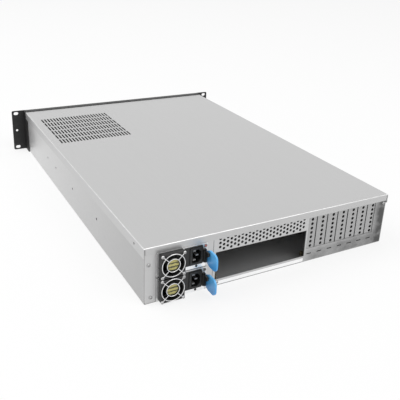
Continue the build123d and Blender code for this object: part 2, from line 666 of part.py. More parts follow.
def fan_rotor(x, z, y0, y1, hub, tip, blades, shaft_from):
    """A hub with twisted blades, and the shaft that turns in the frame's motor plate."""
    body = rod_y(y0, y1, x, z, hub)
    body = fillet(body.edges().sort_by(Axis.Y)[-1], HUB_ROUND)
    rotor = body + rod_y(shaft_from, y0 + 1, x, z, SHAFT / 2)
    chord = y1 - y0 - 2
    sections = []
    for radius, pitch in ((hub - BLADE_SHEET, BLADE_ROOT_PITCH), (tip, BLADE_TIP_PITCH)):
        plane = Plane(origin=(radius, 0, 0), x_dir=(0, 1, 0), z_dir=(1, 0, 0))
        width = min(chord / math.cos(math.radians(pitch)) * BLADE_SHARE, chord * BLADE_MOST)
        sections.append(plane * (Rot(Z=pitch) * Rectangle(width, BLADE_SHEET)))
    blade = loft(sections, ruled=True) & (Rot(X=90) * Cylinder(tip, 4 * chord))
    middle = (y0 + y1) / 2
    return rotor + [Pos(x, middle, z) * (Rot(Y=360 * k / blades) * blade) for k in range(blades)]


def wall_fan(x):
    """Frame and rotor of one fan behind the cooling wall."""
    start = WALL_Y + SHEET
    bore = WALL_FAN / 2 - WALL_FAN_RIM
    frame = fan_frame(x, WALL_FAN_Z, start, WALL_FAN_DEPTH, WALL_FAN, bore, WALL_PLATE, WALL_FAN_CORNER,
                      WALL_PLATE_DEPTH, WALL_FAN - 2 * WALL_FAN_HOLE_INSET, WALL_FAN_HOLE / 2)
    rotor = fan_rotor(x, WALL_FAN_Z, start + WALL_ROTOR_LIFT, start + WALL_FAN_DEPTH - WALL_ROTOR_END,
                      WALL_HUB, bore - WALL_BLADE_GAP, WALL_BLADES, start + PROUD)
    return frame, rotor


def fan_wall():
    """The sheet across the case that carries the four fans."""
    side = WALL_IN - SEAT
    near = WALL_Y - WALL_FLANGE
    face = rect(-side, side, SHEET, LID_UNDER - 2 * SHEET - 2 * SEAT)
    face = fillet(face.vertices().group_by(Axis.Y)[0], BEND)
    holes = [Pos(x, WALL_FAN_Z) * Circle(WALL_FAN / 2 - WALL_HOLE_RIM) for x in FAN_CENTRES]
    wall = upright(face - holes, WALL_Y, WALL_Y + SHEET)
    foot = block(-WALL_IN + 1.5 * BEND, WALL_IN - 1.5 * BEND, near, WALL_Y + SHEET, SHEET, 2 * SHEET)
    cheeks = [block(end * (side - SHEET), end * side, near, WALL_Y + SHEET, SHEET + 2 * BEND,
                    LID_UNDER - RETURN_WIDTH) for end in (-1, 1)]
    return wall + [foot] + cheeks


# Power supply bay and its two modules

def psu_cage():
    """The bay's sheet housing: two walls, a roof and a shelf, seated on the floor."""
    roof = LIP_LOW + SLIDE_GAP
    wall = SHELF_SHEET
    hollow = rect(BAY_RIGHT, BAY_LEFT, 0, roof)
    shell = rect(BAY_RIGHT - wall, BAY_LEFT + wall, SHEET, roof + wall) - hollow
    shelf_low = MODULE_FLOORS[0] + MODULE_HEIGHT + SLIDE_GAP
    shelf = rect(BAY_RIGHT - wall, BAY_LEFT + wall, shelf_low, shelf_low + wall)
    feet = [rect(BAY_RIGHT - BAY_FLANGE, BAY_RIGHT, SHEET, SHEET + wall),
            rect(BAY_LEFT, BAY_LEFT + BAY_FLANGE, SHEET, SHEET + wall)]
    return upright(shell + [shelf] + feet, CAGE_FRONT, PANEL_IN)


def distribution_board():
    """The power board that closes the forward end of the bay."""
    lap = BAY_FLANGE * 2 / 3
    sheet = rect(BAY_RIGHT - lap, BAY_LEFT + lap, SHEET, LIP_LOW - BEND)
    return upright(sheet, CAGE_FRONT - BOARD_SHEET, CAGE_FRONT)


def module_sockets():
    """Two card-edge sockets on the power board, one for each module."""
    half = SOCKET_WIDTH / 2
    sockets = []
    for floor in MODULE_FLOORS:
        z = floor + EDGE_BOARD_RISE
        body = block(BAY_X - half, BAY_X + half, CAGE_FRONT, CAGE_FRONT + SOCKET_DEPTH,
                     z - SOCKET_HEIGHT / 2, z + SOCKET_HEIGHT / 2)
        throat = block(BAY_X - half + SOCKET_WALL, BAY_X + half - SOCKET_WALL, CAGE_FRONT + SOCKET_WALL - 1,
                       CAGE_FRONT + SOCKET_DEPTH + 1, z - SOCKET_MOUTH / 2, z + SOCKET_MOUTH / 2)
        sockets.append(body - throat)
    return sockets


def module_frame(floor):
    """Reference places of a module: its middle height, fan centre and inlet centre."""
    middle = floor + MODULE_HEIGHT / 2
    fan = (MODULE_LEFT - SMALL_FAN_OFFSET, middle)
    inlet = (MODULE_LEFT - INLET_OFFSET, middle + INLET_RISE)
    return middle, fan, inlet


def latch_place(floor):
    """Hinge line of the latch in x and y, and the height of its middle."""
    x = MODULE_RIGHT + HANDLE_EDGE + HANDLE_SHEET + LATCH_ROOM + LATCH_SHEET / 2
    return x, MODULE_FACE + LATCH_HINGE, floor + MODULE_HEIGHT / 2


def module_case(floor):
    """The folded module housing, open at its forward end, with a pierced rear face."""
    ceiling = floor + MODULE_HEIGHT
    wall = MODULE_SHEET
    outer = rect(MODULE_RIGHT, MODULE_LEFT, floor, ceiling)
    inner = rect(MODULE_RIGHT + wall, MODULE_LEFT - wall, floor + wall, ceiling - wall)
    tube = upright(fillet(outer.vertices(), MODULE_CORNER) - inner, MODULE_FRONT, MODULE_FACE)
    middle, fan, inlet = module_frame(floor)
    edge = FACE_MARGIN
    lap = 2 * INLET_FLANGE_LAP - 2 * SEAT
    face = rect(MODULE_RIGHT + edge, MODULE_LEFT - edge, floor + edge, ceiling - edge)
    face -= Pos(*fan) * Circle(SMALL_BORE + DUCT_WALL + SEAT)
    face -= Pos(*inlet) * Rectangle(INLET_WIDTH - lap, INLET_HEIGHT - lap)
    x, y, z = latch_place(floor)
    face -= Pos(x, z) * Rectangle(2 * LATCH_KNUCKLE + SEAT, LATCH_HEIGHT + 1.0)
    rear = upright(face, MODULE_FACE - wall, MODULE_FACE)
    slots = []
    for k in range(SIDE_SLOTS):
        y0 = MODULE_FRONT + SIDE_SLOT_SETBACK + SIDE_SLOT_PITCH * k
        slots.append(block(MODULE_LEFT - 2 * wall, MODULE_LEFT + wall, y0, y0 + SIDE_SLOT_WIDTH,
                           middle - SIDE_SLOT_RISE / 2, middle + SIDE_SLOT_RISE / 2))
    return (tube + rear) - slots


def small_fan(floor):
    """Frame and rotor of the module's fan, which stands proud of the rear face."""
    middle, (x, z), inlet = module_frame(floor)
    frame = fan_frame(x, z, MODULE_FACE, SMALL_FAN_DEPTH, SMALL_FAN, SMALL_BORE, SMALL_PLATE,
                      SMALL_FAN_CORNER, SMALL_PLATE_DEPTH, GUARD_SPAN, GUARD_SCREW / 2 + GUARD_SCREW_GAP,
                      SMALL_FAN_DUCT)
    back = MODULE_FACE - SMALL_FAN_DUCT
    rotor = fan_rotor(x, z, back + SMALL_ROTOR_LIFT, MODULE_FACE + SMALL_FAN_DEPTH - SMALL_ROTOR_END,
                      SMALL_HUB, SMALL_BORE - SMALL_BLADE_GAP, SMALL_BLADES, back + SEAT)
    return frame, rotor


def fan_guard(floor):
    """The bright finger guard: two rings on four arms that end in screw eyes."""
    middle, (x, z), inlet = module_frame(floor)
    corner = GUARD_SPAN / math.sqrt(2)
    outer = SMALL_BORE + GUARD_RING_OVER
    rings = [Circle(outer) - Circle(outer - GUARD_WIRE),
             Circle(GUARD_INNER_RING) - Circle(GUARD_INNER_RING - GUARD_INNER_WIRE)]
    start = GUARD_INNER_RING - GUARD_INNER_WIRE / 2
    arm = Pos((corner + start) / 2, 0) * Rectangle(corner - start, GUARD_WIRE)
    eye = Pos(corner, 0) * (Circle(GUARD_EYE) - Circle(GUARD_SCREW / 2 + SEAT))
    hole = Pos(corner, 0) * Circle(GUARD_SCREW / 2 + SEAT)
    arms = [Rot(Z=45 + 90 * k) * ((arm + eye) - hole) for k in range(4)]
    near = MODULE_FACE + SMALL_FAN_DEPTH
    return upright(Pos(x, z) * (Sketch() + rings + arms), near, near + GUARD_SHEET)


def guard_screws(floor):
    """Four small screws through the guard's eyes into the fan frame."""
    middle, (x, z), inlet = module_frame(floor)
    seat = MODULE_FACE + SMALL_FAN_DEPTH + GUARD_SHEET
    return [rod_y(seat, seat + GUARD_SCREW / 2, x + u, z + v, GUARD_SCREW_HEAD / 2)
            + rod_y(seat - GUARD_SCREW_LENGTH, seat, x + u, z + v, GUARD_SCREW / 2)
            for u in grid(2, GUARD_SPAN) for v in grid(2, GUARD_SPAN)]


def inlet_profile(width, height, cut, corner=1.0):
    """An upright inlet outline: a rectangle with two cut corners on its -X side."""
    outline = Rectangle(width, height)
    outline = chamfer(outline.vertices().group_by(Axis.X)[0], cut)
    return fillet(outline.vertices().group_by(Axis.X)[-1], corner)


def power_inlet(floor):
    """The black three-pole mains inlet, a hollow moulding with a flange."""
    middle, fan, (x, z) = module_frame(floor)
    lap = 2 * INLET_FLANGE_LAP
    back = MODULE_FACE - INLET_DEPTH
    flange = fillet(Rectangle(INLET_WIDTH, INLET_HEIGHT).vertices(), 2.0)
    body = upright(Pos(x, z) * flange, MODULE_FACE, MODULE_FACE + INLET_FLANGE)
    body += upright(Pos(x, z) * Rectangle(INLET_WIDTH - lap, INLET_HEIGHT - lap), back, MODULE_FACE)
    well = inlet_profile(INLET_WIDTH - 2 * INLET_WALL, INLET_HEIGHT - 2 * INLET_WALL, INLET_CUT)
    body -= upright(Pos(x, z) * well, back + INLET_FLANGE, MODULE_FACE + INLET_FLANGE + 1)
    floor_end = back + INLET_FLANGE
    return body - [pin_block(x + u, z + v, back - 1, floor_end + 1, PIN_SEAT) for u, v in pin_places()]


def pin_places():
    """Places of the three pins about the inlet's middle."""
    return [(PIN_STAGGER, PIN_ROW), (PIN_STAGGER, -PIN_ROW), (-PIN_STAGGER, 0.0)]


def pin_block(x, z, y0, y1, gap):
    """A flat pin, or its seat in the inlet's floor when a gap is given."""
    wide = PIN_WIDTH / 2 + gap
    thick = PIN_SHEET / 2 + gap
    return block(x - wide, x + wide, y0, y1, z - thick, z + thick)


def inlet_pins(floor):
    middle, fan, (x, z) = module_frame(floor)
    back = MODULE_FACE - INLET_DEPTH - PIN_TAIL
    return [pin_block(x + u, z + v, back, back + PIN_LENGTH, 0.0) for u, v in pin_places()]


def module_handle(floor):
    """The blue pull tab: an upright plate, narrow at the face and wide at its rounded end."""
    middle = floor + MODULE_HEIGHT / 2 - HANDLE_DROP
    x0 = MODULE_RIGHT + HANDLE_EDGE
    flare = MODULE_FACE + HANDLE_REACH / 3
    tip = REAR + HANDLE_REACH
    root, half = HANDLE_ROOT / 2, HANDLE_HEIGHT / 2
    outline = make_face(Polyline((MODULE_FACE, middle - root), (flare, middle - half), (tip, middle - half),
                                 (tip, middle + half), (flare, middle + half), (MODULE_FACE, middle + root),
                                 close=True))
    corners = outline.vertices().group_by(Axis.X)
    outline = fillet(corners[-1], HANDLE_CORNER)
    outline = fillet(outline.vertices().sort_by(Axis.X)[2:4], HANDLE_CORNER / 2)
    return sideways(outline, x0, x0 + HANDLE_SHEET)


def module_latch(floor):
    """The black squeeze latch: a lever on an upright hinge pin, with a tooth at its inner end.

    Its outer arm is short below and reaches out to a finger pad at the top.
    """
    x, y, z = latch_place(floor)
    half = LATCH_SHEET / 2
    inner_end = y - LATCH_TAIL
    tip = y + LATCH_ARM
    arm = rect(x - half, x + half, inner_end, tip)
    arm = fillet(arm.vertices().group_by(Axis.Y)[-1], 0.9)
    tooth_tip = MODULE_RIGHT + MODULE_SHEET + PROUD
    tooth = make_face(Polyline((x, inner_end), (tooth_tip, inner_end), (tooth_tip, inner_end + 2.5),
                               (x, inner_end + 7.0), close=True))
    knuckle = Pos(x, y) * Circle(LATCH_KNUCKLE)
    bore = Pos(x, y) * Circle(LATCH_PIN + SHAFT_GAP)
    low, high = z - LATCH_HEIGHT / 2, z + LATCH_HEIGHT / 2
    lever = lying((arm + tooth + knuckle) - bore, low, high)
    pad_low = high - LATCH_PAD
    step = make_face(Polyline((tip - LATCH_STEP, low - 1), (tip + 1, low - 1), (tip + 1, pad_low),
                              (tip, pad_low), (tip - LATCH_STEP, pad_low - LATCH_STEP / 2), close=True))
    return lever - sideways(step, x - LATCH_SHEET, x + LATCH_SHEET)


def latch_bracket(floor):
    """Two ears on the face and the pin between them, which carry the latch."""
    x, y, z = latch_place(floor)
    gap = LATCH_HEIGHT / 2 + SEAT
    half = LATCH_EAR_HALF
    ears = [block(x - half, x + half, MODULE_FACE, y + half + SEAT, z0, z0 + LATCH_EAR)
            for z0 in (z - gap - LATCH_EAR, z + gap)]
    reach = gap + LATCH_EAR / 2
    return ears[0] + ears[1] + rod_z(z - reach, z + reach, x, y, LATCH_PIN)


def edge_board(floor):
    """The module's board, whose edge plugs into the socket at the bay's end."""
    middle = (MODULE_LEFT + MODULE_RIGHT) / 2
    low = floor + EDGE_BOARD_RISE - BOARD_SHEET / 2
    half = EDGE_TONGUE_WIDTH / 2
    near = MODULE_FRONT + 1
    board = block(MODULE_RIGHT + EDGE_BOARD_MARGIN, MODULE_LEFT - EDGE_BOARD_MARGIN, near,
                  near + EDGE_BOARD_LENGTH, low, low + BOARD_SHEET)
    tongue = block(middle - half, middle + half, MODULE_FRONT - EDGE_TONGUE, near, low, low + BOARD_SHEET)
    posts = [block(x - BOARD_POST / 2, x + BOARD_POST / 2, y - BOARD_POST / 2, y + BOARD_POST / 2,
                   floor + MODULE_SHEET, low)
             for x in (MODULE_RIGHT + BOARD_POST_INSET, MODULE_LEFT - BOARD_POST_INSET)
             for y in (near + BOARD_POST_INSET, near + EDGE_BOARD_LENGTH - BOARD_POST_INSET)]
    return board + [tongue] + posts


# Front bay and controls

def disk_cage():
    """A folded cage of stacked disk bays, seated on the floor behind the front panel."""
    inside = DISK_WIDTH / 2 + DISK_GAP
    step = DISK_HEIGHT + DISK_STEP
    base = SHEET + DISK_FOOT
    top = base + DISK_BAYS * step
    outer = rect(VENT_X - inside - SHEET, VENT_X + inside + SHEET, SHEET, top + SHEET)
    shell = outer - rect(VENT_X - inside, VENT_X + inside, 0, top)
    ledges = []
    for k in range(1, DISK_BAYS):
        z = base + k * step - DISK_LEDGE_DROP
        ledges += [rect(VENT_X - inside - SHEET / 2, VENT_X - inside + DISK_LEDGE, z, z + SHEET),
                   rect(VENT_X + inside - DISK_LEDGE, VENT_X + inside + SHEET / 2, z, z + SHEET)]
    feet = [rect(VENT_X + side * inside, VENT_X + side * (inside + DISK_FLANGE), SHEET, 2 * SHEET)
            for side in (-1, 1)]
    start = FRONT + DISK_CAGE_SETBACK
    cage = upright(shell + ledges + feet, start, start + DISK_CAGE_LENGTH)
    left, right = VENT_X + inside + 2 * SHEET, VENT_X - inside - 2 * SHEET
    slot = SlotOverall(DISK_SLOT, DISK_SLOT_WIDTH)
    holes = [sideways(Pos(start + y, base + k * step + DISK_HOLE_RISE) * slot, right, left)
             for k in range(DISK_BAYS) for y in DISK_HOLES]
    window = Pos(VENT_X, start + DISK_CAGE_LENGTH / 2) * Rectangle(*DISK_WINDOW)
    return cage - holes - lying(window, top - 1, top + 2 * SHEET)


def control_places():
    """Places, in x and z, of the power and reset buttons, the lights and the socket pair."""
    power = (CONTROL_X, BODY_MIDDLE + POWER_RISE)
    reset = (CONTROL_X, BODY_MIDDLE + RESET_RISE)
    lights = [(CONTROL_X + x, BODY_MIDDLE - LIGHT_DROP) for x in grid(3, LIGHT_PITCH)]
    usb = (CONTROL_X, BODY_MIDDLE - USB_DROP)
    return power, reset, lights, usb


def control_board():
    """The small board behind the front controls."""
    sheet = Rectangle(CONTROL_BOARD_WIDTH, CONTROL_BOARD_HEIGHT)
    return upright(Pos(CONTROL_X, CONTROL_BOARD_Z) * sheet, BOARD_NEAR, BOARD_NEAR + BOARD_SHEET)


def board_spacers():
    """Four spacers between the front panel and the control board."""
    return [rod_y(FRONT + PANEL_SHEET, BOARD_NEAR, CONTROL_X + x, CONTROL_BOARD_Z + z, SPACER / 2)
            for x in grid(2, CONTROL_BOARD_WIDTH - 2 * SPACER_INSET)
            for z in grid(2, CONTROL_BOARD_HEIGHT - 2 * SPACER_INSET)]


def push_button(place, diameter):
    """A round cap with a retaining collar behind the panel and a stem to its switch."""
    x, z = place
    collar = FRONT + PANEL_SHEET + SEAT
    cap = rod_y(FRONT + SEAT, collar + 1, x, z, diameter / 2)
    cap = fillet(cap.edges().sort_by(Axis.Y)[0], 0.5)
    ring = rod_y(collar, collar + BUTTON_COLLAR, x, z, diameter / 2 + BUTTON_COLLAR)
    stem_end = BOARD_NEAR - SWITCH_RISE - BUTTON_TRAVEL - SEAT
    return cap + ring + rod_y(collar + 1, stem_end, x, z, BUTTON_STEM / 2)


def button_switches():
    """The two switch bodies on the control board."""
    power, reset, lights, usb = control_places()
    half = SWITCH_SIZE / 2
    return [block(x - half, x + half, BOARD_NEAR - SWITCH_RISE, BOARD_NEAR, z - half, z + half)
            for x, z in (power, reset)]


def light_pipe():
    """One clear moulding with three round lenses in the front panel."""
    power, reset, lights, usb = control_places()
    near = FRONT + LIGHT_BAR_SETBACK
    far = near + LIGHT_BAR_DEPTH
    lenses = [rod_y(FRONT + PROUD, near + 1, x, z, LIGHT_DIAMETER / 2) for x, z in lights]
    lenses = [fillet(lens.edges().sort_by(Axis.Y)[0], LIGHT_DIAMETER / 5) for lens in lenses]
    x, z = lights[1]
    half, leg = LIGHT_BAR / 2, LIGHT_LEG / 2
    bar = block(x - LIGHT_PITCH - half, x + LIGHT_PITCH + half, near, far, z - half, z + half)
    legs = [block(x + offset - leg, x + offset + leg, far, BOARD_NEAR, z - leg, z + leg)
            for offset in (-LIGHT_PITCH, LIGHT_PITCH)]
    return bar + lenses + legs


def usb_socket_pair():
    """A stacked pair of data sockets: a metal shell with two mouths and their tongues."""
    power, reset, lights, (x, z) = control_places()
    wide, high = USB_MOUTH
    tongue_wide, tongue_high = USB_TONGUE
    shell = upright(Pos(x, z) * Rectangle(USB_WIDTH, USB_HEIGHT), FRONT + PROUD, BOARD_NEAR)
    mouths = [upright(Pos(x, z + v) * Rectangle(wide, high), FRONT - 1, FRONT + USB_MOUTH_DEPTH)
              for v in grid(2, USB_STEP)]
    tongues = [upright(Pos(x, z + v + 0.6 * tongue_high) * Rectangle(tongue_wide, tongue_high),
                       FRONT + USB_TONGUE_SETBACK, FRONT + USB_MOUTH_DEPTH + 1) for v in grid(2, USB_STEP)]
    return (shell - mouths) + tongues


def write_all():
    os.makedirs("parts", exist_ok=True)
    save("chassis_tray", chassis_tray())
    save("top_cover", top_cover())
    save("rear_panel", rear_panel())
    save("front_panel", front_panel())
    save("rack_ear_left", rack_ear(1))
    save("rack_ear_right", rack_ear(-1))
    save("rack_ear_screws", ear_screws())
    save("rear_panel_screws", rear_panel_screws())
    save("slot_ledge", slot_ledge())
    for k, x in enumerate(SLOT_CENTRES, start=1):
        save(f"slot_cover_{k}", slot_cover(x))
    save("slot_cover_screws", slot_screws())
    save("board_standoffs", board_standoffs())
    save("fan_wall", fan_wall())
    for k, x in enumerate(FAN_CENTRES, start=1):
        frame, rotor = wall_fan(x)
        save(f"wall_fan_{k}_frame", frame)
        save(f"wall_fan_{k}_rotor", rotor)
    save("psu_cage", psu_cage())
    save("power_distribution_board", distribution_board())
    save("module_sockets", module_sockets())
    for name, floor in zip(("lower", "upper"), MODULE_FLOORS):
        frame, rotor = small_fan(floor)
        save(f"psu_{name}_case", module_case(floor))
        save(f"psu_{name}_fan_frame", frame)
        save(f"psu_{name}_fan_rotor", rotor)
        save(f"psu_{name}_fan_guard", fan_guard(floor))
        save(f"psu_{name}_guard_screws", guard_screws(floor))
        save(f"psu_{name}_inlet", power_inlet(floor))
        save(f"psu_{name}_inlet_pins", inlet_pins(floor))
        save(f"psu_{name}_handle", module_handle(floor))
        save(f"psu_{name}_latch", module_latch(floor))
        save(f"psu_{name}_latch_bracket", latch_bracket(floor))
        save(f"psu_{name}_edge_board", edge_board(floor))
    save("disk_cage", disk_cage())
    save("control_board", control_board())
    save("control_board_spacers", board_spacers())
    save("button_switches", button_switches())
    power, reset, lights, usb = control_places()
    save("power_button", push_button(power, POWER_DIAMETER))
    save("reset_button", push_button(reset, RESET_DIAMETER))
    save("light_pipe", light_pipe())
    save("usb_socket_pair", usb_socket_pair())


write_all()
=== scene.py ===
# %% [markdown]
# # Dressing a rackmount server case
#
# The case comes from CAD as a set of plain solids in metres, each at its real place. This
# script gives every surface its finish, replaces the small turned and bent pieces that
# deserve finer forms, and sets up a camera and a plain studio.
#
# The first step loads the frame.

# %% Load the frame
import math

import bmesh
import bpy
from mathutils import Matrix, Vector


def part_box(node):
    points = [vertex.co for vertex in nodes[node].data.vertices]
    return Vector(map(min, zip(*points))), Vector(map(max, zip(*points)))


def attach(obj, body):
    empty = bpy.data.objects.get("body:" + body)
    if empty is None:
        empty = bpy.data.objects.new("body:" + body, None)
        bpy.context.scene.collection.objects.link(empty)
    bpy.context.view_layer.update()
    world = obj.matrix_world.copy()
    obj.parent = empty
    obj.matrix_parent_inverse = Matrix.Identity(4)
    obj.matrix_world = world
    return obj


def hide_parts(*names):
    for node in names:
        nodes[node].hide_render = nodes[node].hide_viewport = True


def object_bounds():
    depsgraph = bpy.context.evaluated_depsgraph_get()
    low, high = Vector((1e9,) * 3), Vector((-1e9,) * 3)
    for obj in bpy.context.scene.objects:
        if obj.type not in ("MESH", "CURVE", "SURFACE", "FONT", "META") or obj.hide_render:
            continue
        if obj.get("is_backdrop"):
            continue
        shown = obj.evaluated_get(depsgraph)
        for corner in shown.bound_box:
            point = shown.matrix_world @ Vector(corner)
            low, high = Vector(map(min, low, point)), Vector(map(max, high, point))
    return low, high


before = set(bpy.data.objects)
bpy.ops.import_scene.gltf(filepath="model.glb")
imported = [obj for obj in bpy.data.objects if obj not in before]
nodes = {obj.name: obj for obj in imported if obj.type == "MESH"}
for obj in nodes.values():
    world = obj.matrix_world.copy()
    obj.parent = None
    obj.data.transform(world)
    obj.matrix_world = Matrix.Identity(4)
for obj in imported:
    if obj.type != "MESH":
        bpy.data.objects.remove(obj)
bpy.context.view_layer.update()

MM = 0.001

# %% [markdown]
# ## The camera
#
# The photograph looks down on the rear left corner from a little over a metre away. The
# verticals in it hardly converge, because the picture was straightened. A small shift of the
# frame does part of that here; a larger one would push the case out of the other views. The
# camera's place and angles were fitted to the photographed corners of the case.

# %% Camera
IMAGE_WIDTH = 400
FOCAL_PIXELS = 596.3
SHIFT_PIXELS = 40
SENSOR_WIDTH_MM = 36.0
CAMERA_YAW = math.radians(209.25)
CAMERA_PITCH = math.radians(21.38)
CAMERA_ROLL = math.radians(2.5)
CAMERA_PLACE = Vector((485.0, 935.5, 478.0)) * MM


def aim(yaw, pitch, roll):
    """A camera's axes as a rotation: right, up and backwards as columns."""
    level = math.cos(pitch)
    forward = Vector((math.sin(yaw) * level, math.cos(yaw) * level, -math.sin(pitch)))
    right = forward.cross(Vector((0, 0, 1))).normalized()
    up = right.cross(forward)
    tilted_right = right * math.cos(roll) + up * math.sin(roll)
    tilted_up = up * math.cos(roll) - right * math.sin(roll)
    return Matrix((tilted_right, tilted_up, -forward)).transposed()


camera = bpy.data.objects.new("camera", bpy.data.cameras.new("camera"))
bpy.context.scene.collection.objects.link(camera)
camera.data.sensor_width = SENSOR_WIDTH_MM
camera.data.lens = FOCAL_PIXELS / IMAGE_WIDTH * SENSOR_WIDTH_MM
camera.data.shift_y = -SHIFT_PIXELS / IMAGE_WIDTH
camera_turn = aim(CAMERA_YAW, CAMERA_PITCH, CAMERA_ROLL).to_4x4()
camera.matrix_world = Matrix.Translation(CAMERA_PLACE) @ camera_turn
bpy.context.scene.camera = camera
print(f"lens {camera.data.lens:.1f} mm, {CAMERA_PLACE.length:.2f} m from the middle")

# %% [markdown]
# ## Writing node trees as expressions
#
# A procedural finish is mostly arithmetic on coordinates, and so is a rule for a shape. Wiring
# Math nodes by hand hides that arithmetic, so a small class wraps a socket and overloads the
# operators: `1 - mask` adds its own Math node. Everything else comes from one method, `add`,
# which takes a node's type, its settings and the values or links of its sockets. Materials,
# shapes and the world all use it.


# %% Sockets as expressions
class Wire:
    """An output socket that can be used in an expression."""

    def __init__(self, owner, socket):
        self.owner = owner
        self.socket = socket

    def other(self, name):
        """Another output of the same node."""
        return Wire(self.owner, self.socket.node.outputs[name])

    def math(self, operation, first, second=0.0):
        return self.owner.add("ShaderNodeMath", {"operation": operation}, {0: first, 1: second})

    def __add__(self, value):
        return self.math("ADD", self, value)

    def __radd__(self, value):
        return self.math("ADD", value, self)

    def __sub__(self, value):
        return self.math("SUBTRACT", self, value)

    def __rsub__(self, value):
        return self.math("SUBTRACT", value, self)

    def __mul__(self, value):
        return self.math("MULTIPLY", self, value)

    def __rmul__(self, value):
        return self.math("MULTIPLY", value, self)

    def __truediv__(self, value):
        return self.math("DIVIDE", self, value)

    def __rtruediv__(self, value):
        return self.math("DIVIDE", value, self)

    def __abs__(self):
        return self.math("ABSOLUTE", self)

    def __gt__(self, value):
        return self.math("GREATER_THAN", self, value)

    def __lt__(self, value):
        return self.math("LESS_THAN", self, value)

    def root(self):
        return self.math("SQRT", self)

    def most(self, value):
        return self.math("MAXIMUM", self, value)

    def to_and_fro(self, reach):
        """Up from zero to reach and down again, over and over."""
        return self.math("PINGPONG", self, reach)

    def swing(self, width):
        """Noise between 0 and 1 as a swing about zero, this wide."""
        return (self - 0.5) * width

    def ramp(self, start, end):
        """Zero at start and before it, one at end and past it, and straight between."""
        return self.owner.add("ShaderNodeMapRange", {"clamp": True}, {0: self, 1: start, 2: end})


print("sockets can be used in expressions")


# %% One method for every node
class Tree:
    """A node tree, and the one method that adds a node to it."""

    def __init__(self, tree):
        self.tree = tree

    def add(self, kind, settings=None, inputs=None, output=0):
        """Add a node: its settings first, then its sockets' values or links."""
        node = self.tree.nodes.new(kind)
        for key, value in (settings or {}).items():
            setattr(node, key, value)
        for key, value in (inputs or {}).items():
            for item in value if isinstance(value, list) else [value]:
                if isinstance(item, Wire):
                    self.tree.links.new(item.socket, node.inputs[key])
                else:
                    node.inputs[key].default_value = item
        return Wire(self, node.outputs[output]) if len(node.outputs) else None


print("node tree helpers ready")

# %% [markdown]
# ## A finish
#
# Each finish is one material with one physically based shader. What is the same all over the
# surface is a plain value on the shader's socket, and what varies is a wire into it. Patterns
# read the object's coordinates, which here are the case's own frame, so a mark of a
# millimetre stays a millimetre on every piece.


# %% Finishes
class Finish(Tree):
    """A material with its Principled shader."""

    def __init__(self, name, **constants):
        self.material = bpy.data.materials.new(name)
        self.material.use_nodes = True
        super().__init__(self.material.node_tree)
        self.tree.nodes.clear()
        self.constants = constants

    def principled(self, **varying):
        """The shader, with the finish's constants and what varies over the surface."""
        sockets = {**self.constants, **varying}
        return self.add("ShaderNodeBsdfPrincipled",
                        inputs={name.replace("_", " "): value for name, value in sockets.items()})

    def close(self, surface=None, **varying):
        """Link the shader, or another surface, to the material's output."""
        self.add("ShaderNodeOutputMaterial", inputs={"Surface": surface or self.principled(**varying)})
        return self

    def place(self):
        """Object coordinates, which are the case's own frame in metres."""
        return self.add("ShaderNodeTexCoord", output="Object")

    def xyz(self):
        x = self.add("ShaderNodeSeparateXYZ", inputs={0: self.place()})
        return x, x.other("Y"), x.other("Z")

    def noise(self, per_metre, stretch=(1, 1, 1), detail=3.0, roughness=0.5):
        """Cloudy noise between 0 and 1, with this many features in a metre."""
        spread = self.add("ShaderNodeMapping", inputs={"Vector": self.place(), "Scale": stretch})
        return self.add("ShaderNodeTexNoise", {"normalize": True},
                        {"Vector": spread, "Scale": per_metre, "Detail": detail, "Roughness": roughness})

    def blend(self, factor, first, second):
        """A colour between two colours."""
        return self.add("ShaderNodeMix", {"data_type": "RGBA"}, {0: factor, 6: first, 7: second}, output=2)

    def bump(self, height, depth, strength):
        return self.add("ShaderNodeBump",
                        inputs={"Height": height, "Distance": depth, "Strength": strength})


print("finish class ready")


# %% Greys and painting
def grey(value, tint=(1.0, 1.0, 1.0)):
    """A linear colour from an 8-bit grey as it should appear on the screen, by the sRGB curve."""
    linear = ((value / 255 + 0.055) / 1.055) ** 2.4 if value > 10 else value / 255 / 12.92
    return (linear * tint[0], linear * tint[1], linear * tint[2], 1.0)


def paint(finish, *names):
    """Give CAD nodes a finish."""
    for name in names:
        shown = nodes[name]
        if not shown.material_slots:
            shown.data.materials.append(finish.material)
        for held in shown.material_slots:
            held.material = finish.material


print(f"a mid grey of 128 on the screen is {grey(128)[0]:.3f} in linear light")

# %% [markdown]
# ## Zinc-coated sheet
#
# The tray, the lid and the rear wall are cold-rolled sheet with a thin zinc coat: dull, light
# grey, a little uneven, with faint streaks along the rolling direction and softer patches
# where the coat is thicker. A picture texture would fix the scale of those marks; noise on
# the object's coordinates keeps it real. Three scales are mixed: broad patches, a spangle of
# a few millimetres, and fine streaks stretched along the length.

# %% Sheet metal finish
ROLLED_LENGTHWAYS = (900, 14, 900)
ROLLED_UPWARDS = (900, 900, 14)
TONE_BELOW = 14
TONE_ABOVE = 12
SPANGLE_TONE = 0.05
STREAK_TONE = 0.05
SPANGLE_SHEEN = 0.16
PATCH_SHEEN = 0.1
ZINC_METALLIC = 0.75
DULL_METALLIC = 0.1


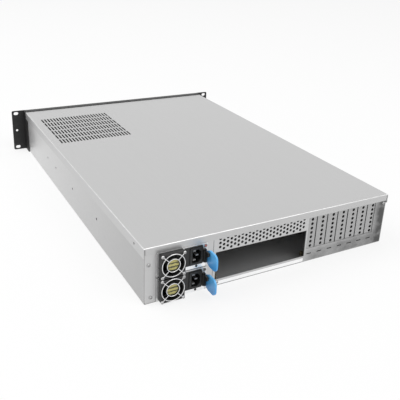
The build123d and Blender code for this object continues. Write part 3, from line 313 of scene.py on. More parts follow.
def zinc(name, tone, patch=0.05, rolled=ROLLED_LENGTHWAYS, rough=0.36, metallic=ZINC_METALLIC):
    """Dull zinc-coated steel, with tone as its grey on the screen."""
    finish = Finish(name, Metallic=metallic)
    patches = finish.noise(per_metre=7, detail=2.0)
    spangle = finish.noise(per_metre=160, detail=2.0)
    streaks = finish.noise(per_metre=1, stretch=rolled, detail=2.0)
    uneven = patches.swing(patch) + spangle.swing(SPANGLE_TONE) + streaks.swing(STREAK_TONE) + 0.5
    colour = finish.blend(uneven.ramp(0.35, 0.65), grey(tone - TONE_BELOW), grey(tone + TONE_ABOVE))
    skin = {"Roughness": rough + spangle.swing(SPANGLE_SHEEN) + patches.swing(PATCH_SHEEN),
            "Normal": finish.bump(streaks + spangle * 0.5, depth=0.004 * MM, strength=0.35)}
    return finish, colour, skin


def plain_zinc(name, tone, **settings):
    finish, colour, skin = zinc(name, tone, **settings)
    return finish.close(Base_Color=colour, **skin)


print("zinc finish ready")

# %% [markdown]
# ## The tray and the lid
#
# The tray's outside is as light as the lid, and painted light makes it lighter towards the front.
# Its inside is seen only through the rear aperture and, much darker with painted shade, through
# the lid's slots in front. One mask, made from the coordinates of the inner faces, tells the
# two sides apart without cutting the mesh. Along the folds of the lid a painted highlight shows
# as a light line on the edges, and a painted shadow shows as a thin dark line under the lid's flange.

# %% Tray finish
tray_low, tray_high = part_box("chassis_tray")
INSIDE_MARGIN = 0.8 * MM
OUTSIDE_LIGHT_FADE = (300 * MM, -250 * MM)
INSIDE_SHADE_FADE = (50 * MM, -100 * MM)
FLANGE_SHADOW_BOTTOM = 70.9 * MM
FLANGE_SHADOW_TOP = 72.2 * MM
FLANGE_SHADOW_SHARE = 0.55


def tray_finish():
    finish, colour, skin = zinc("tray_zinc", tone=178)
    painted_front_light, lit_inside, shaded_inside, flange_shadow_grey = grey(210), grey(152), grey(44), grey(96)
    x, y, z = finish.xyz()
    inside = (abs(x) < tray_high.x - INSIDE_MARGIN) * (z > tray_low.z + INSIDE_MARGIN)
    # Painted light: the outside grows lighter towards the front.
    outside_colour = finish.blend(y.ramp(*OUTSIDE_LIGHT_FADE), colour, painted_front_light)
    # Painted shade: the inside darkens from the rear towards the front.
    inside_colour = finish.blend(y.ramp(*INSIDE_SHADE_FADE), lit_inside, shaded_inside)
    # Painted shadow: a thin dark line on the tray side just under the lid's flange.
    flange_shadow = (z > FLANGE_SHADOW_BOTTOM) * (z < FLANGE_SHADOW_TOP) * FLANGE_SHADOW_SHARE
    outside_colour = finish.blend(flange_shadow, outside_colour, flange_shadow_grey)
    return finish.close(Base_Color=finish.blend(inside, outside_colour, inside_colour),
                        Metallic=ZINC_METALLIC - inside * (ZINC_METALLIC - DULL_METALLIC), **skin)


paint(tray_finish(), "chassis_tray")
print("tray dressed")

# %% Lid finish and inner sheet pieces
lid_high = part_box("top_cover")[1]
FOLD_LINE = 1.0 * MM


def lid_finish():
    finish, colour, skin = zinc("lid_zinc", tone=193, patch=0.02)
    fold_highlight_grey = grey(222)
    x, y, z = finish.xyz()
    top_edge = z > lid_high.z - FOLD_LINE
    side_fold = (abs(x) > lid_high.x - FOLD_LINE) * top_edge
    rear_fold = (y > lid_high.y - FOLD_LINE) * top_edge
    # Painted highlight: a light line along the lid's side and rear folds.
    fold_highlight = finish.noise(per_metre=60).ramp(0.2, 0.6) * side_fold.most(rear_fold)
    return finish.close(Base_Color=finish.blend(fold_highlight, colour, fold_highlight_grey), **skin)


slot_covers = [name for name in nodes.keys() if name.startswith("slot_cover_") and name[-1].isdigit()]
paint(lid_finish(), "top_cover")
paint(plain_zinc("inner_zinc", tone=190), "slot_ledge", "fan_wall", "psu_cage")
# Painted shade: the disk cage, seen through the front slots, is painted almost black.
paint(plain_zinc("dusty_zinc", tone=34, rough=0.6, metallic=DULL_METALLIC), "disk_cage")
paint(plain_zinc("cover_zinc", tone=172, rolled=ROLLED_UPWARDS), *slot_covers)
print(f"lid, inner sheet pieces and {len(slot_covers)} slot covers dressed")

# %% [markdown]
# ## The rear wall
#
# The rear wall is the same sheet. It faces away from the light, and painted shade and painted
# reflection darken it in soft clouds towards the right edge and the lower right corner. Beneath
# the connector aperture a plain strip has a painted highlight and is almost white. Beside the
# module bay runs the edge of the sheet that is lapped there. All three are masks on x and z.

# %% Rear wall finish
STRIP_LEFT = 105.5 * MM
STRIP_RIGHT = -53.2 * MM
STRIP_TOP = 7.0 * MM
STRIP_BOTTOM = 1.6 * MM
LAP_X = 108.6 * MM
LAP_LINE = 0.35 * MM
EDGE_FADE = (-186 * MM, -204 * MM)
COVERS_FADE_X = (-46 * MM, -66 * MM)
COVERS_FADE_Z = (32 * MM, 16 * MM)
ACROSS_FADE = (-50 * MM, -200 * MM)
EDGE_SHADE = 0.95
COVERS_SHADE = 0.61
ACROSS_SHADE = 0.28
SHADE_CLOUD_SHARE = 0.45


def rear_finish():
    finish, colour, skin = zinc("rear_zinc", tone=198, patch=0.1, rolled=ROLLED_UPWARDS)
    dark, highlight_white, lap_shadow = grey(84), grey(255), grey(92)
    x, y, z = finish.xyz()
    # Painted shade and painted reflection: darker clouds towards the right edge and under the slot covers.
    shade_clouds = finish.noise(per_metre=42, stretch=(1, 1, 1.6), detail=4.0, roughness=0.66).ramp(0.3, 0.7)
    under_covers = x.ramp(*COVERS_FADE_X) * z.ramp(*COVERS_FADE_Z)
    corner = x.ramp(*EDGE_FADE).most(under_covers * COVERS_SHADE)
    shade = corner * EDGE_SHADE + x.ramp(*ACROSS_FADE) * ACROSS_SHADE
    body = finish.blend(shade * (1 - SHADE_CLOUD_SHARE + shade_clouds * SHADE_CLOUD_SHARE), colour, dark)
    # Painted highlight: the plain strip under the connector aperture is almost white.
    strip = (x < STRIP_LEFT) * (x > STRIP_RIGHT) * (z < STRIP_TOP) * (z > STRIP_BOTTOM)
    lap = abs(x - LAP_X) < LAP_LINE
    return finish.close(Base_Color=finish.blend(lap, finish.blend(strip, body, highlight_white), lap_shadow), **skin)


paint(rear_finish(), "rear_panel")
print("rear wall dressed")

# %% [markdown]
# ## Powder coat, plastics and plated metal
#
# The front and its rack flanges are black powder coat, whose skin is a field of tiny
# rounded lumps. Moulded plastics have a much finer grain. Plated parts are smooth, so their
# colour is almost constant and the roughness carries the detail.


# %% Coats, plastics and plating
def grained(name, colour, rough, grain, depth, vary=0.15, **constants):
    """A coat or moulding: one colour, fine lumps (grain of them in a metre), uneven sheen."""
    finish = Finish(name, **constants)
    lumps = finish.noise(per_metre=grain, detail=2.0)
    wear = finish.noise(per_metre=35, detail=4.0)
    dark = tuple(c * (1 - vary) for c in colour[:3]) + (1.0,)
    light = tuple(min(c * (1 + vary) + 0.002, 1.0) for c in colour[:3]) + (1.0,)
    return finish.close(Base_Color=finish.blend(wear, dark, light),
                        Roughness=rough + wear.swing(0.18),
                        Normal=finish.bump(lumps, depth, strength=0.5))


powder_black = grained("powder_black", grey(19), rough=0.5, grain=1500, depth=0.02 * MM)
moulded_black = grained("moulded_black", grey(22), rough=0.45, grain=3000, depth=0.006 * MM)
rotor_black = grained("rotor_black", grey(40, tint=(0.92, 1.06, 0.94)),
                      rough=0.38, grain=3000, depth=0.004 * MM)
board_green = grained("board_green", (0.02, 0.10, 0.05, 1), rough=0.35, grain=700, depth=0.01 * MM)
frosted = grained("frosted", grey(225), rough=0.4, grain=2500, depth=0.004 * MM, vary=0.04)
dull_brass = grained("dull_brass", (0.24, 0.20, 0.13, 1),
                     rough=0.5, grain=2000, depth=0.002 * MM, vary=0.06, Metallic=0.6)
pin_grey = grained("pin_grey", grey(150),
                   rough=0.42, grain=2000, depth=0.002 * MM, vary=0.08, Metallic=0.8)
contact_gold = grained("contact_gold", (0.86, 0.62, 0.22, 1),
                       rough=0.22, grain=2000, depth=0.001 * MM, vary=0.05, Metallic=1.0)
nickel = grained("nickel", grey(176),
                 rough=0.28, grain=1200, depth=0.003 * MM, vary=0.08, Metallic=0.9)
guard_nickel = grained("guard_nickel", grey(232),
                       rough=0.3, grain=1200, depth=0.002 * MM, vary=0.03, Metallic=0.85)
blued_steel = grained("blued_steel", grey(66),
                      rough=0.35, grain=1500, depth=0.003 * MM, vary=0.1, Metallic=0.9)
print("coats, plastics and plating mixed")

# %% Coated, moulded and plated pieces
WALL_FANS = 4
paint(powder_black, "front_panel", "rack_ear_left", "rack_ear_right", "rack_ear_screws")
paint(board_green, "power_distribution_board", "control_board")
paint(moulded_black, "module_sockets", "button_switches", "power_button", "reset_button")
paint(dull_brass, "board_standoffs")
paint(nickel, "rear_panel_screws", "slot_cover_screws", "control_board_spacers", "usb_socket_pair")
paint(frosted, "light_pipe")
for k in range(1, WALL_FANS + 1):
    paint(moulded_black, f"wall_fan_{k}_frame")
    paint(rotor_black, f"wall_fan_{k}_rotor")
print("coats, plastics and plating dressed")

# %% [markdown]
# ## The power modules
#
# Each module has a plated face, a black fan behind a bright guard, a black inlet with
# dull pins and a blue tab to pull. Under the inlet a painted highlight makes a bright strip on
# the face, and painted light turns the tab a lighter blue towards its top. Both follow the height
# above the module's floor, so each module gets its own copy of the finish, in one loop.

# %% Power module finishes
MODULES = ("lower", "upper")
FACE_STRIP_TOP = 6.4 * MM
FACE_STRIP_RIGHT = 122.4 * MM
FACE_STRIP_LEFT = 153.0 * MM
TAB_LIGHT_FADE = 12 * MM
TAB_WAVER = 6 * MM
TAB_ROUGHNESS = 0.32
TAB_BLUE = (0.045, 0.30, 0.70, 1)
TAB_HIGHLIGHT_BLUE = (0.13, 0.48, 0.88, 1)


def module_finish(name, floor_z):
    finish, colour, skin = zinc(name, tone=214, patch=0.03, rough=0.3)
    highlight_white = grey(253)
    x, y, z = finish.xyz()
    # Painted highlight: a bright strip on the face under the inlet.
    strip = (x > FACE_STRIP_RIGHT) * (x < FACE_STRIP_LEFT) * (z < floor_z + FACE_STRIP_TOP)
    return finish.close(Base_Color=finish.blend(strip, colour, highlight_white), **skin)


def tab_finish(name, middle_z):
    finish = Finish(name)
    x, y, z = finish.xyz()
    # Painted light: the tab turns a lighter blue towards its top.
    height = z - middle_z + finish.noise(per_metre=60).swing(TAB_WAVER)
    grain = finish.noise(per_metre=900, detail=2.0)
    return finish.close(Base_Color=finish.blend(height.ramp(-TAB_LIGHT_FADE, TAB_LIGHT_FADE), TAB_BLUE, TAB_HIGHLIGHT_BLUE),
                        Roughness=TAB_ROUGHNESS + finish.noise(per_metre=35).swing(0.15),
                        Normal=finish.bump(grain, depth=0.004 * MM, strength=0.5))


for which in MODULES:
    case_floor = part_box(f"psu_{which}_case")[0].z
    tab_low, tab_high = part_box(f"psu_{which}_handle")
    paint(module_finish(f"module_zinc_{which}", case_floor), f"psu_{which}_case")
    paint(tab_finish(f"blue_tab_{which}", (tab_low.z + tab_high.z) / 2), f"psu_{which}_handle")
    paint(moulded_black, f"psu_{which}_fan_frame", f"psu_{which}_inlet", f"psu_{which}_latch")
    paint(rotor_black, f"psu_{which}_fan_rotor")
    paint(nickel, f"psu_{which}_fan_guard", f"psu_{which}_guard_screws")
    paint(blued_steel, f"psu_{which}_latch_bracket")
    paint(pin_grey, f"psu_{which}_inlet_pins")
    paint(board_green, f"psu_{which}_edge_board")
print(f"{len(MODULES)} power modules dressed")

# %% [markdown]
# ## Small pieces by rule
#
# Screws, wire guards and contact strips repeat, and each follows a rule: a turned head with a
# cross cut into it, two rings on four arms, a row of equal strips. They could be modelled once
# and copied by hand, but a Geometry Nodes tree keeps the rule itself, with its sizes as named
# inputs. A recipe here is such a tree.


# %% Recipes
class Recipe(Tree):
    """A Geometry Nodes tree whose sizes are named inputs."""

    def __init__(self, name, **sizes):
        super().__init__(bpy.data.node_groups.new(name, "GeometryNodeTree"))
        self.tree.is_modifier = True
        sockets = self.tree.interface
        sockets.new_socket("Seats", in_out="INPUT", socket_type="NodeSocketGeometry")
        sockets.new_socket("Finish", in_out="INPUT", socket_type="NodeSocketMaterial")
        for label, value in sizes.items():
            kind = "NodeSocketInt" if isinstance(value, int) else "NodeSocketFloat"
            sockets.new_socket(label, in_out="INPUT", socket_type=kind).default_value = value
        sockets.new_socket("Pieces", in_out="OUTPUT", socket_type="NodeSocketGeometry")
        self.given = self.add("NodeGroupInput")

    def sizes(self, *labels):
        return [self.given.other(label) for label in labels]

    def vector(self, x=0.0, y=0.0, z=0.0):
        return self.add("ShaderNodeCombineXYZ", inputs={0: x, 1: y, 2: z})

    def moved(self, shape, **place):
        return self.add("GeometryNodeTransform",
                        inputs={"Geometry": shape, "Translation": self.vector(**place)})

    def block(self, x, y, z):
        return self.add("GeometryNodeMeshCube", inputs={"Size": self.vector(x, y, z)})

    def drum(self, radius, depth, sides, rings=1):
        return self.add("GeometryNodeMeshCylinder", {"fill_type": "NGON"},
                        {"Vertices": sides, "Side Segments": rings, "Radius": radius, "Depth": depth})

    def ring(self, radius, corners):
        return self.add("GeometryNodeCurvePrimitiveCircle", {"mode": "RADIUS"},
                        {"Resolution": corners, "Radius": radius})

    def joined(self, *shapes):
        return self.add("GeometryNodeJoinGeometry", inputs={0: list(shapes)})

    def close(self, shape, turn=0.0):
        """Set the shape on every seat, make it real and give it the finish."""
        seats, finish = self.sizes("Seats", "Finish")
        placed = self.add("GeometryNodeInstanceOnPoints",
                          inputs={"Points": seats, "Instance": shape, "Rotation": self.vector(z=turn)})
        real = self.add("GeometryNodeRealizeInstances", inputs={0: placed})
        dressed = self.add("GeometryNodeSetMaterial", inputs={0: real, "Material": finish})
        self.add("NodeGroupOutput", inputs={"Pieces": dressed})
        return self


print("recipe class ready")

# %% [markdown]
# ## Running a recipe
#
# A recipe runs on a mesh whose points are the seats of its pieces, and the result becomes a
# plain mesh at once, so nothing stays live in the file. A recipe builds its shape upright;
# pieces on the rear wall are turned to face the rear in the finished mesh, so that the object
# itself stays unturned at the origin.

# %% Running a recipe
REARWARD = Matrix.Rotation(math.radians(-90), 4, "X")
UPRIGHT = Matrix.Identity(4)


def linked(name, mesh):
    """A new object for a mesh, at the origin of the scene."""
    mesh.name = name
    piece = bpy.data.objects.new(name, mesh)
    bpy.context.scene.collection.objects.link(piece)
    return piece


def made(recipe, name, seats, finish, turn=UPRIGHT, **sizes):
    """Run a recipe on a list of seats and return its result as a plain piece."""
    back = turn.inverted()
    mesh = bpy.data.meshes.new(name + "_seats")
    mesh.from_pydata([back @ Vector(seat) for seat in seats], [], [])
    carrier = linked(name + "_carrier", mesh)
    modifier = carrier.modifiers.new("recipe", "NODES")
    modifier.node_group = recipe.tree
    values = {"Finish": finish.material, **sizes}
    for item in recipe.tree.interface.items_tree:
        if item.in_out == "INPUT" and item.name in values:
            modifier[item.identifier] = values[item.name]
    evaluated = carrier.evaluated_get(bpy.context.evaluated_depsgraph_get())
    plain = bpy.data.meshes.new_from_object(evaluated)
    bpy.data.objects.remove(carrier)
    plain.transform(turn)
    while plain.materials[0] is None:  # the carrier's own slot, which is empty
        plain.materials.pop(index=0)
    return linked(name, plain)


def fitted(piece, body, slot, *stands_for, finish=None):
    """Make a finished piece ride on a body, and hide the nodes it stands for."""
    if finish:
        piece.data.materials.append(finish.material)
    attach(piece, body)
    if stands_for:
        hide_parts(*stands_for)
    print(f"{piece.name}: {len(piece.data.polygons)} faces in {piece.data.materials[0].name} on {body}")


print("recipes can be run")

# %% [markdown]
# ## Where the loose solids of a node lie
#
# A node of screws is one mesh with several separate solids in it. Their places are needed as
# seats. They could be typed in again from the drawing, but reading them from the mesh keeps
# the two together: a copy is merged, its connected faces are gathered, and each group gives
# a box.

# %% Boxes of the solids in a node
MERGED_WITHIN = 0.001 * MM
ALONG_Y, ALONG_Z = 1, 2


def solid_boxes(name):
    """The lowest and highest corner of each separate solid in a node."""
    form = bmesh.new()
    form.from_mesh(nodes[name].data)
    bmesh.ops.remove_doubles(form, verts=form.verts, dist=MERGED_WITHIN)
    waiting = set(form.verts)
    boxes = []
    while waiting:
        found, reached = [], [waiting.pop()]
        while reached:
            vert = reached.pop()
            found.append(vert.co.copy())
            near = {edge.other_vert(vert) for edge in vert.link_edges} & waiting
            waiting -= near
            reached.extend(near)
        boxes.append((Vector(map(min, zip(*found))), Vector(map(max, zip(*found)))))
    form.free()
    return sorted(boxes, key=lambda box: (round(box[0].x, 5), round(box[0].z, 5)))


def head_seats(name, axis, rise):
    """The middle under each screw head of a node, where the head's flat side sits."""
    seats = []
    for low, high in solid_boxes(name):
        seat = (low + high) / 2
        seat[axis] = high[axis] - rise
        seats.append(seat)
    return seats


for name in ("rear_panel_screws", "slot_cover_screws"):
    print(f"{name}: {len(solid_boxes(name))} solids")

# %% [markdown]
# ## Cross-head screws
#
# The rear wall, the slot covers and the guards are held by pan-head screws with a cross
# recess. The head is a turned form that narrows towards its top, so the recipe starts from a
# drum with a few rings, pulls each ring in by a rounded profile, joins the shank and cuts two
# crossed bars from the top. No two screws stop at the same angle: a seeded random turn gives
# each its own.

# %% Screw recipe
SCREW_RISE = 1.6 * MM
HEAD_TAPER = 0.5
CROSS_LENGTH = 0.56
CROSS_WIDTH = 0.13


def screw_recipe():
    recipe = Recipe("cross_head_screw", Head=5.6 * MM, Rise=SCREW_RISE, Shank=3.0 * MM, Length=4.0 * MM,
                    Seed=3)
    head, rise, shank, length, seed = recipe.sizes("Head", "Rise", "Shank", "Length", "Seed")
    drum = recipe.drum(head / 2, rise, sides=32, rings=6)
    x = recipe.add("ShaderNodeSeparateXYZ", inputs={0: recipe.add("GeometryNodeInputPosition")})
    y, z = x.other("Y"), x.other("Z")
    share = z / rise + 0.5
    narrow = (1 - share * share * HEAD_TAPER).root()
    pulled_in = recipe.vector(x * narrow, y * narrow, z + rise / 2)
    domed = recipe.add("GeometryNodeSetPosition", inputs={"Geometry": drum, "Position": pulled_in})
    rod = recipe.moved(recipe.drum(shank / 2, length + rise / 2, sides=20), z=(rise / 2 - length) / 2)
    body = recipe.add("GeometryNodeMeshBoolean", {"operation": "UNION", "solver": "EXACT"},
                      {"Mesh 2": [domed, rod]})
    bars = [recipe.moved(recipe.block(head * wide, head * thin, rise), z=rise)
            for wide, thin in ((CROSS_LENGTH, CROSS_WIDTH), (CROSS_WIDTH, CROSS_LENGTH))]
    cut = recipe.add("GeometryNodeMeshBoolean", {"operation": "DIFFERENCE", "solver": "EXACT"},
                     {"Mesh 1": body, "Mesh 2": bars})
    turn = recipe.add("FunctionNodeRandomValue", {"data_type": "FLOAT"}, {3: math.pi, "Seed": seed},
                      output=1)
    return recipe.close(cut, turn)


screws = screw_recipe()
rear_screws = made(screws, "rear_screw_heads", head_seats("rear_panel_screws", ALONG_Y, SCREW_RISE),
                   nickel, REARWARD, Length=2.6 * MM)
fitted(rear_screws, "chassis", "bright_steel", "rear_panel_screws")
cover_screws = made(screws, "cover_screw_heads", head_seats("slot_cover_screws", ALONG_Z, SCREW_RISE),
                    nickel, Seed=5)
fitted(cover_screws, "chassis", "bright_steel", "slot_cover_screws")

# %% [markdown]
# ## Finger guards
#
# A guard is bright steel wire welded flat: a wide ring near the frame's edge, a small one round
# the hub, and four arms that run out to an eye at each corner. A wire of constant thickness
# is a circle swept along a line, so the recipe makes the lines first and gives them their
# wire at the end. Four small screws of the recipe above hold it by its eyes.


# %% Guard recipe
def guard_recipe():
    recipe = Recipe("finger_guard", Outer=16.9 * MM, Inner=9.6 * MM, Reach=22.76 * MM, Eye=1.75 * MM,
                    Wire=1.2 * MM, Arms=4)
    outer, inner, reach, eye = recipe.sizes("Outer", "Inner", "Reach", "Eye")
    wire, arm_count = recipe.sizes("Wire", "Arms")
    line = recipe.add("GeometryNodeCurvePrimitiveLine",
                      inputs={"Start": recipe.vector(inner), "End": recipe.vector(reach - eye)})
    loop = recipe.moved(recipe.ring(eye, corners=20), x=reach)
    corners = recipe.add("GeometryNodePoints", inputs={"Count": arm_count})
    order = recipe.add("GeometryNodeInputIndex")
    arms = recipe.add("GeometryNodeInstanceOnPoints",
                      inputs={"Points": corners, "Instance": recipe.joined(line, loop),
                              "Rotation": recipe.vector(z=(order + 0.5) * (2 * math.pi) / arm_count)})
    arms = recipe.add("GeometryNodeRealizeInstances", inputs={0: arms})
    lines = recipe.joined(recipe.ring(outer, corners=72), recipe.ring(inner, corners=56), arms)
    swept = recipe.add("GeometryNodeCurveToMesh",
                       inputs={"Curve": lines, "Profile Curve": recipe.ring(wire / 2, corners=10),
                               "Fill Caps": True})
    return recipe.close(recipe.add("GeometryNodeSetShadeSmooth", inputs={0: swept}))


guards = guard_recipe()
GUARD_SCREW_RISE = 0.9 * MM
for seed, which in enumerate(MODULES, start=11):
    module = f"psu_{which}_module"
    low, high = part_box(f"psu_{which}_fan_guard")
    guard = made(guards, f"psu_{which}_wire_guard", [(low + high) / 2], guard_nickel, REARWARD)
    fitted(guard, module, "bright_steel", f"psu_{which}_fan_guard")
    held_by = f"psu_{which}_guard_screws"
    seats = head_seats(held_by, ALONG_Y, GUARD_SCREW_RISE)
    heads = made(screws, f"psu_{which}_guard_screw_heads", seats, nickel, REARWARD,
                 Head=4.0 * MM, Rise=GUARD_SCREW_RISE, Shank=1.8 * MM, Length=6.0 * MM, Seed=seed)
    fitted(heads, module, "bright_steel", held_by)

# %% [markdown]
# ## Face screws and contact strips
#
# A small dark screw under each inlet holds the module's shell together, and the board that
# plugs into the case carries a row of gold contacts on both sides of its tongue. The screw
# uses the recipe above with other sizes. The contacts are one thin strip, set on a row of
# seats; hidden while a module is in place, they show when it is drawn.


# %% Contact strip recipe
def strip_recipe():
    recipe = Recipe("contact_strip", Width=1.2 * MM, Length=4.2 * MM, Thickness=0.06 * MM)
    width, length, thickness = recipe.sizes("Width", "Length", "Thickness")
    return recipe.close(recipe.block(width, length, thickness))


strips = strip_recipe()
print(f"{strips.tree.name} ready")

# %% Face screws and contacts
FACE_SCREW_X = 136.2 * MM
FACE_SCREW_Z = 3.3 * MM
CONTACT_PITCH = 1.9 * MM
CONTACT_COUNT = 22
CONTACT_INSET = 2.5 * MM
for which in MODULES:
    module = f"psu_{which}_module"
    low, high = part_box(f"psu_{which}_case")
    seat = Vector((FACE_SCREW_X, high.y, low.z + FACE_SCREW_Z))
    screw = made(screws, f"psu_{which}_face_screw", [seat], blued_steel, REARWARD,
                 Head=3.8 * MM, Rise=0.7 * MM, Shank=2.2 * MM, Length=3.0 * MM)
    fitted(screw, module, "black_steel")
    low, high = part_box(f"psu_{which}_edge_board")
    first = (low.x + high.x - (CONTACT_COUNT - 1) * CONTACT_PITCH) / 2
    seats = [(first + k * CONTACT_PITCH, low.y + CONTACT_INSET, z)
             for k in range(CONTACT_COUNT) for z in (low.z, high.z)]
    contacts = made(strips, f"psu_{which}_contacts", seats, contact_gold)
    fitted(contacts, module, "brass")

# %% [markdown]
# ## Plates with rounded corners
#
# Thin mouldings and cut foam are plates with rounded corners and a soft edge. A box with a
# Bevel modifier would round every edge alike. Here each plate is a stack of outlines with the
# same number of points, joined outline by outline, so that a chamfer or a hole is just one
# outline more.


# %% Plates with rounded corners
def rounded(sides, radius, y, steps=6):
    """Points round a rectangle with rounded corners, at one depth."""
    low_x, high_x, low_z, high_z = sides
    points = []
    for k, (x, z) in enumerate([(high_x - radius, high_z - radius), (low_x + radius, high_z - radius),
                                (low_x + radius, low_z + radius), (high_x - radius, low_z + radius)]):
        for step in range(steps + 1):
            angle = math.pi / 2 * (k + step / steps)
            points.append(Vector((x + radius * math.cos(angle), y, z + radius * math.sin(angle))))
    return points


def inset(sides, by):
    low_x, high_x, low_z, high_z = sides
    return low_x + by, high_x - by, low_z + by, high_z - by


def piece_of(form, name):
    """A new object from a bmesh, which is freed."""
    mesh = bpy.data.meshes.new(name)
    form.to_mesh(mesh)
    form.free()
    return linked(name, mesh)


def plate_of(name, outlines, hole):
    """Join outlines one to the next; a plate without a hole gets flat ends."""
    form = bmesh.new()
    rings = [[form.verts.new(point) for point in outline] for outline in outlines]
    for ring, following in zip(rings, rings[1:] + rings[:1] if hole else rings[1:]):
        for k in range(len(ring)):
            after = (k + 1) % len(ring)
            form.faces.new([ring[k], ring[after], following[after], following[k]])
    if not hole:
        form.faces.new(rings[0])
        form.faces.new(rings[-1])
    bmesh.ops.recalc_face_normals(form, faces=form.faces)
    return piece_of(form, name)


print("plates with rounded corners can be made")

# %% [markdown]
# ## Inlet surrounds
#
# In the photograph the black of the inlet reaches almost to the fan: a thin moulded plate
# fills that part of the face. Its outlines run from the back of the hole over the outer edge
# and the chamfer to the front of the hole.

# %% Inlet surrounds
SURROUND_SIDE = 8.4 * MM
SURROUND_OVER = 1.6 * MM
SURROUND_UNDER = 1.0 * MM
SURROUND_RISE = 0.9 * MM
SURROUND_EDGE = 0.3 * MM
SURROUND_ROUND = 1.6 * MM
INLET_LAP = 0.5 * MM
INLET_ROUND = 1.0 * MM


def surround(name, inlet_low, inlet_high, face_y):
    inner = inset((inlet_low.x, inlet_high.x, inlet_low.z, inlet_high.z), INLET_LAP)
    outer = (inlet_low.x, inlet_high.x + SURROUND_SIDE,
             inlet_low.z - SURROUND_UNDER, inlet_high.z + SURROUND_OVER)
    top = face_y + SURROUND_RISE
    outlines = [rounded(inner, INLET_ROUND, face_y),
                rounded(outer, SURROUND_ROUND, face_y),
                rounded(outer, SURROUND_ROUND, top - SURROUND_EDGE),
                rounded(inset(outer, SURROUND_EDGE), SURROUND_ROUND - SURROUND_EDGE, top),
                rounded(inner, INLET_ROUND, top)]
    return plate_of(name, outlines, hole=True)


for which in MODULES:
    low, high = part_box(f"psu_{which}_inlet")
    plate = surround(f"psu_{which}_inlet_surround", low, high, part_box(f"psu_{which}_case")[1].y)
    fitted(plate, f"psu_{which}_module", "black_plastic", finish=moulded_black)

# %% [markdown]
# ## Dust filter
#
# Behind the slots of the front lies a sheet of dark open-cell filter foam, which keeps dust
# out of an empty case and also keeps daylight from showing through the lid's slots. Its cells
# are far too small to model, so a thin plate with eased edges gets them from a cell pattern in
# its bump and colour.

# %% Dust filter
FILTER_SIDES = (-98.0 * MM, 138.0 * MM, 9.0 * MM, 79.0 * MM)
FILTER_GAP = 0.2 * MM
FILTER_DEPTH = 4.0 * MM
FILTER_ROUND = 3.0 * MM
FILTER_EASE = 0.6 * MM
FRONT_SHEET = 1.5 * MM
CELLS_PER_METRE = 620.0


def foam_finish():
    finish = Finish("filter_foam", Roughness=0.9)
    wall, cell = grey(40), grey(16)
    cells = finish.add("ShaderNodeTexVoronoi", {"feature": "F1"},
                       {"Vector": finish.place(), "Scale": CELLS_PER_METRE})
    return finish.close(Base_Color=finish.blend(cells.ramp(0.1, 0.7), wall, cell),
                        Normal=finish.bump(cells, depth=0.4 * MM, strength=0.8))


filter_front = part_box("front_panel")[0].y + FRONT_SHEET + FILTER_GAP
filter_back = filter_front + FILTER_DEPTH
eased_sides, eased_round = inset(FILTER_SIDES, FILTER_EASE), FILTER_ROUND - FILTER_EASE
outlines = [rounded(eased_sides, eased_round, filter_front),
            rounded(FILTER_SIDES, FILTER_ROUND, filter_front + FILTER_EASE),
            rounded(FILTER_SIDES, FILTER_ROUND, filter_back - FILTER_EASE),
            rounded(eased_sides, eased_round, filter_back)]
dust_filter = plate_of("dust_filter", outlines, hole=False)
fitted(dust_filter, "chassis", "black_plastic", finish=foam_finish())

# %% [markdown]
# ## Hub discs
#
# On the hub of each module fan sits a thin paper disc in dull yellow, with plain darker and
# lighter bands across it. It is a turned form: a profile of radius and depth that runs round
# the fan's axis, so a rolled edge is just one point more. The bands are steps of the disc's
# height, softened a little by noise, so no picture is needed.


# %% Turned forms
def turned(name, profile, middle, steps):
    """Turn a profile of (radius, depth) pairs about the y axis through a point."""
    form = bmesh.new()
    angles = [2 * math.pi * k / steps for k in range(steps)]
    rings = []
    for radius, depth in profile:
        around = angles if radius else [0.0]
        rings.append([form.verts.new(middle + Vector((radius * math.cos(a), depth, radius * math.sin(a))))
                      for a in around])
    for inner, outer in zip(rings, rings[1:]):
        for k in range(steps):
            corners = [inner[k % len(inner)], inner[(k + 1) % len(inner)],
                       outer[(k + 1) % len(outer)], outer[k % len(outer)]]
            form.faces.new(list(dict.fromkeys(corners)))
    bmesh.ops.recalc_face_normals(form, faces=form.faces)
    for face in form.faces:
        face.smooth = True
    return piece_of(form, name)


print("forms can be turned")

# %% Hub discs
DISC_RADIUS = 8.3 * MM
DISC_RISE = 0.16 * MM
DISC_EDGE = 0.6 * DISC_RISE
BAND_PITCH = 5.6 * MM
BAND_START = 0.27 * BAND_PITCH
BAND_FULL = 0.36 * BAND_PITCH
BAND_WAVER = 3.2 * MM
PAPER_ROUGHNESS = 0.42
PAPER_YELLOW = (0.50, 0.45, 0.16, 1)
BAND_BROWN = (0.07, 0.07, 0.03, 1)


def disc_finish(name, middle):
    finish = Finish(name, Metallic=0.0)
    x, y, z = finish.xyz()
    height = z - middle.z + finish.noise(per_metre=260).swing(BAND_WAVER)
    banded = height.to_and_fro(BAND_PITCH / 2).ramp(BAND_START, BAND_FULL)
    return finish.close(Base_Color=finish.blend(banded, PAPER_YELLOW, BAND_BROWN),
                        Roughness=PAPER_ROUGHNESS + finish.noise(per_metre=300).swing(0.2))


for which in MODULES:
    low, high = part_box(f"psu_{which}_fan_rotor")
    middle = Vector(((low.x + high.x) / 2, high.y, (low.z + high.z) / 2))
    profile = [(0, 0), (DISC_RADIUS, 0), (DISC_RADIUS, DISC_EDGE), (DISC_RADIUS - DISC_EDGE, DISC_RISE),
               (0, DISC_RISE)]
    disc = turned(f"psu_{which}_hub_disc", profile, middle, steps=64)
    fitted(disc, f"psu_{which}_rotor", "rotor_plastic", finish=disc_finish(f"hub_paper_{which}", middle))

# %% [markdown]
# ## Status lights
#
# Above each blue tab a small lamp shows the module's state: a grey bezel round a clear dome.
# In the photograph the upper one is dull red and the lower one is dark. Both are turned forms,
# and a thin clear coat gives the dome its gloss.

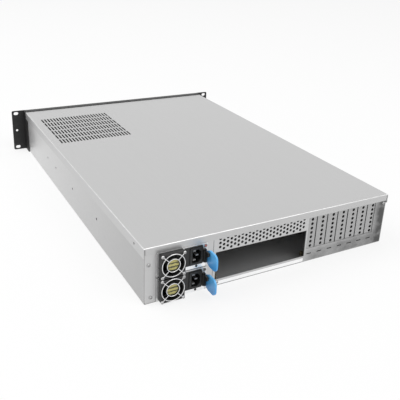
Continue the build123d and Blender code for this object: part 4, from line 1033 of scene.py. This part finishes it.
# %% Status lights
LIGHT_X = 122.6 * MM
LIGHT_Z = 32.2 * MM
BEZEL = 2.4 * MM
BEZEL_RISE = 0.8 * MM
BEZEL_SUNK = 0.4 * MM
BEZEL_OUTER_EASE = 0.25 * MM
BEZEL_INNER_EASE = 0.15 * MM
DOME = 1.55 * MM
DOME_FOOT = 0.3 * MM
DOME_SUNK = 0.3 * MM
DOME_HEIGHT = 0.55 * DOME
DOME_ANGLES = (0, 0.4, 0.8, 1.15)
LIGHT_COLOURS = {"lower": (0.035, 0.035, 0.04, 1), "upper": (0.42, 0.06, 0.045, 1)}
rim = [(DOME, -BEZEL_SUNK), (BEZEL, -BEZEL_SUNK), (BEZEL, BEZEL_RISE - BEZEL_OUTER_EASE),
       (BEZEL - BEZEL_OUTER_EASE, BEZEL_RISE), (DOME + BEZEL_INNER_EASE, BEZEL_RISE),
       (DOME, BEZEL_RISE - BEZEL_INNER_EASE), (DOME, -BEZEL_SUNK)]
arc = [(DOME * math.cos(a), DOME_FOOT + DOME_HEIGHT * math.sin(a)) for a in DOME_ANGLES]
cap = [(0, -DOME_SUNK), (DOME, -DOME_SUNK), *arc, (0, DOME_FOOT + DOME_HEIGHT)]
for which in MODULES:
    low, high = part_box(f"psu_{which}_case")
    middle = Vector((LIGHT_X, high.y, low.z + LIGHT_Z))
    bezel_grey = grained(f"bezel_grey_{which}", grey(120), rough=0.35, grain=2500, depth=0.002 * MM)
    dome_clear = grained(f"dome_{which}", LIGHT_COLOURS[which],
                         rough=0.12, grain=2500, depth=0.001 * MM, vary=0.05, Coat_Weight=0.6)
    bezel = turned(f"psu_{which}_light_bezel", rim, middle, steps=40)
    fitted(bezel, f"psu_{which}_module", "black_plastic", finish=bezel_grey)
    dome = turned(f"psu_{which}_light_dome", cap, middle, steps=40)
    fitted(dome, f"psu_{which}_module", "clear_plastic", finish=dome_clear)

# %% [markdown]
# ## Studio
#
# Sheet metal shows what surrounds it, so the studio is a plain white room: a white world, a
# pale floor and two large soft lamps. The world is brighter to the camera and to mirror-like
# rays than it is as a light, which gives a white background with no extra light on the case.
# The lamps hang high, so that the flat lid doesn't mirror them in any of the low views.

# %% World and floor
WHITE = (1, 1, 1, 1)
PALE = (0.9, 0.9, 0.9, 1)
WORLD_AS_LIGHT = 0.62
FLOOR_RADIUS = 8.0
FLOOR_DROP = 0.3 * MM
FLOOR_GLOW = 0.8


def in_view(tree):
    """One for a ray from the camera, a mirror or a glass, and zero for other light."""
    from_camera = tree.add("ShaderNodeLightPath", output="Is Camera Ray")
    from_mirror = from_camera.other("Is Glossy Ray")
    from_glass = from_camera.other("Is Transmission Ray")
    return from_camera.most(from_mirror).most(from_glass)


def world_light(as_light):
    world = bpy.data.worlds.new("studio")
    bpy.context.scene.world = world
    world.use_nodes = True
    sky = Tree(world.node_tree)
    sky.tree.nodes.clear()
    strength = as_light + in_view(sky) * (1.0 - as_light)
    background = sky.add("ShaderNodeBackground", inputs={"Color": WHITE, "Strength": strength})
    sky.add("ShaderNodeOutputWorld", inputs={"Surface": background})


def floor_disc(radius):
    """A wide pale floor that shows the case's soft shadow on near-white."""
    form = bmesh.new()
    bmesh.ops.create_circle(form, cap_ends=True, radius=radius, segments=96,
                            matrix=Matrix.Translation((0, 0, -FLOOR_DROP)))
    floor = piece_of(form, "floor")
    finish = Finish("floor_white", Roughness=0.9, Base_Color=PALE)
    white = finish.add("ShaderNodeEmission", inputs={"Color": WHITE, "Strength": 1.0})
    finish.close(finish.add("ShaderNodeMixShader",
                            inputs={0: in_view(finish) * FLOOR_GLOW, 1: finish.principled(), 2: white}))
    floor.data.materials.append(finish.material)
    floor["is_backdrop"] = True


world_light(WORLD_AS_LIGHT)
floor_disc(FLOOR_RADIUS)
print("world and floor ready")

# %% Lamps
LIT_POINT = Vector((0, 0, 0.05))


def soft_lamp(name, place, size, power):
    lamp = bpy.data.objects.new(name, bpy.data.lights.new(name, "AREA"))
    lamp.data.shape = "DISK"
    lamp.data.size = size
    lamp.data.energy = power
    lamp.location = place
    lamp.rotation_euler = (LIT_POINT - Vector(place)).to_track_quat("-Z", "Y").to_euler()
    bpy.context.scene.collection.objects.link(lamp)


soft_lamp("key_lamp", place=(2.0, -1.1, 3.0), size=3.0, power=56)
soft_lamp("fill_lamp", place=(-1.0, 2.1, 2.7), size=2.8, power=36)
bpy.context.scene.view_settings.view_transform = "Standard"
print("lamps ready")

# %% [markdown]
# ## The dressed box
#
# The dressed case should be no larger than the CAD one: a finish adds no thickness, and every
# added piece stays within the case's own box. The last step prints the size of the dressed
# case's box.

# %% The dressed box
low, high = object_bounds()
print(f"dressed box {[round(v, 4) for v in high - low]} m")
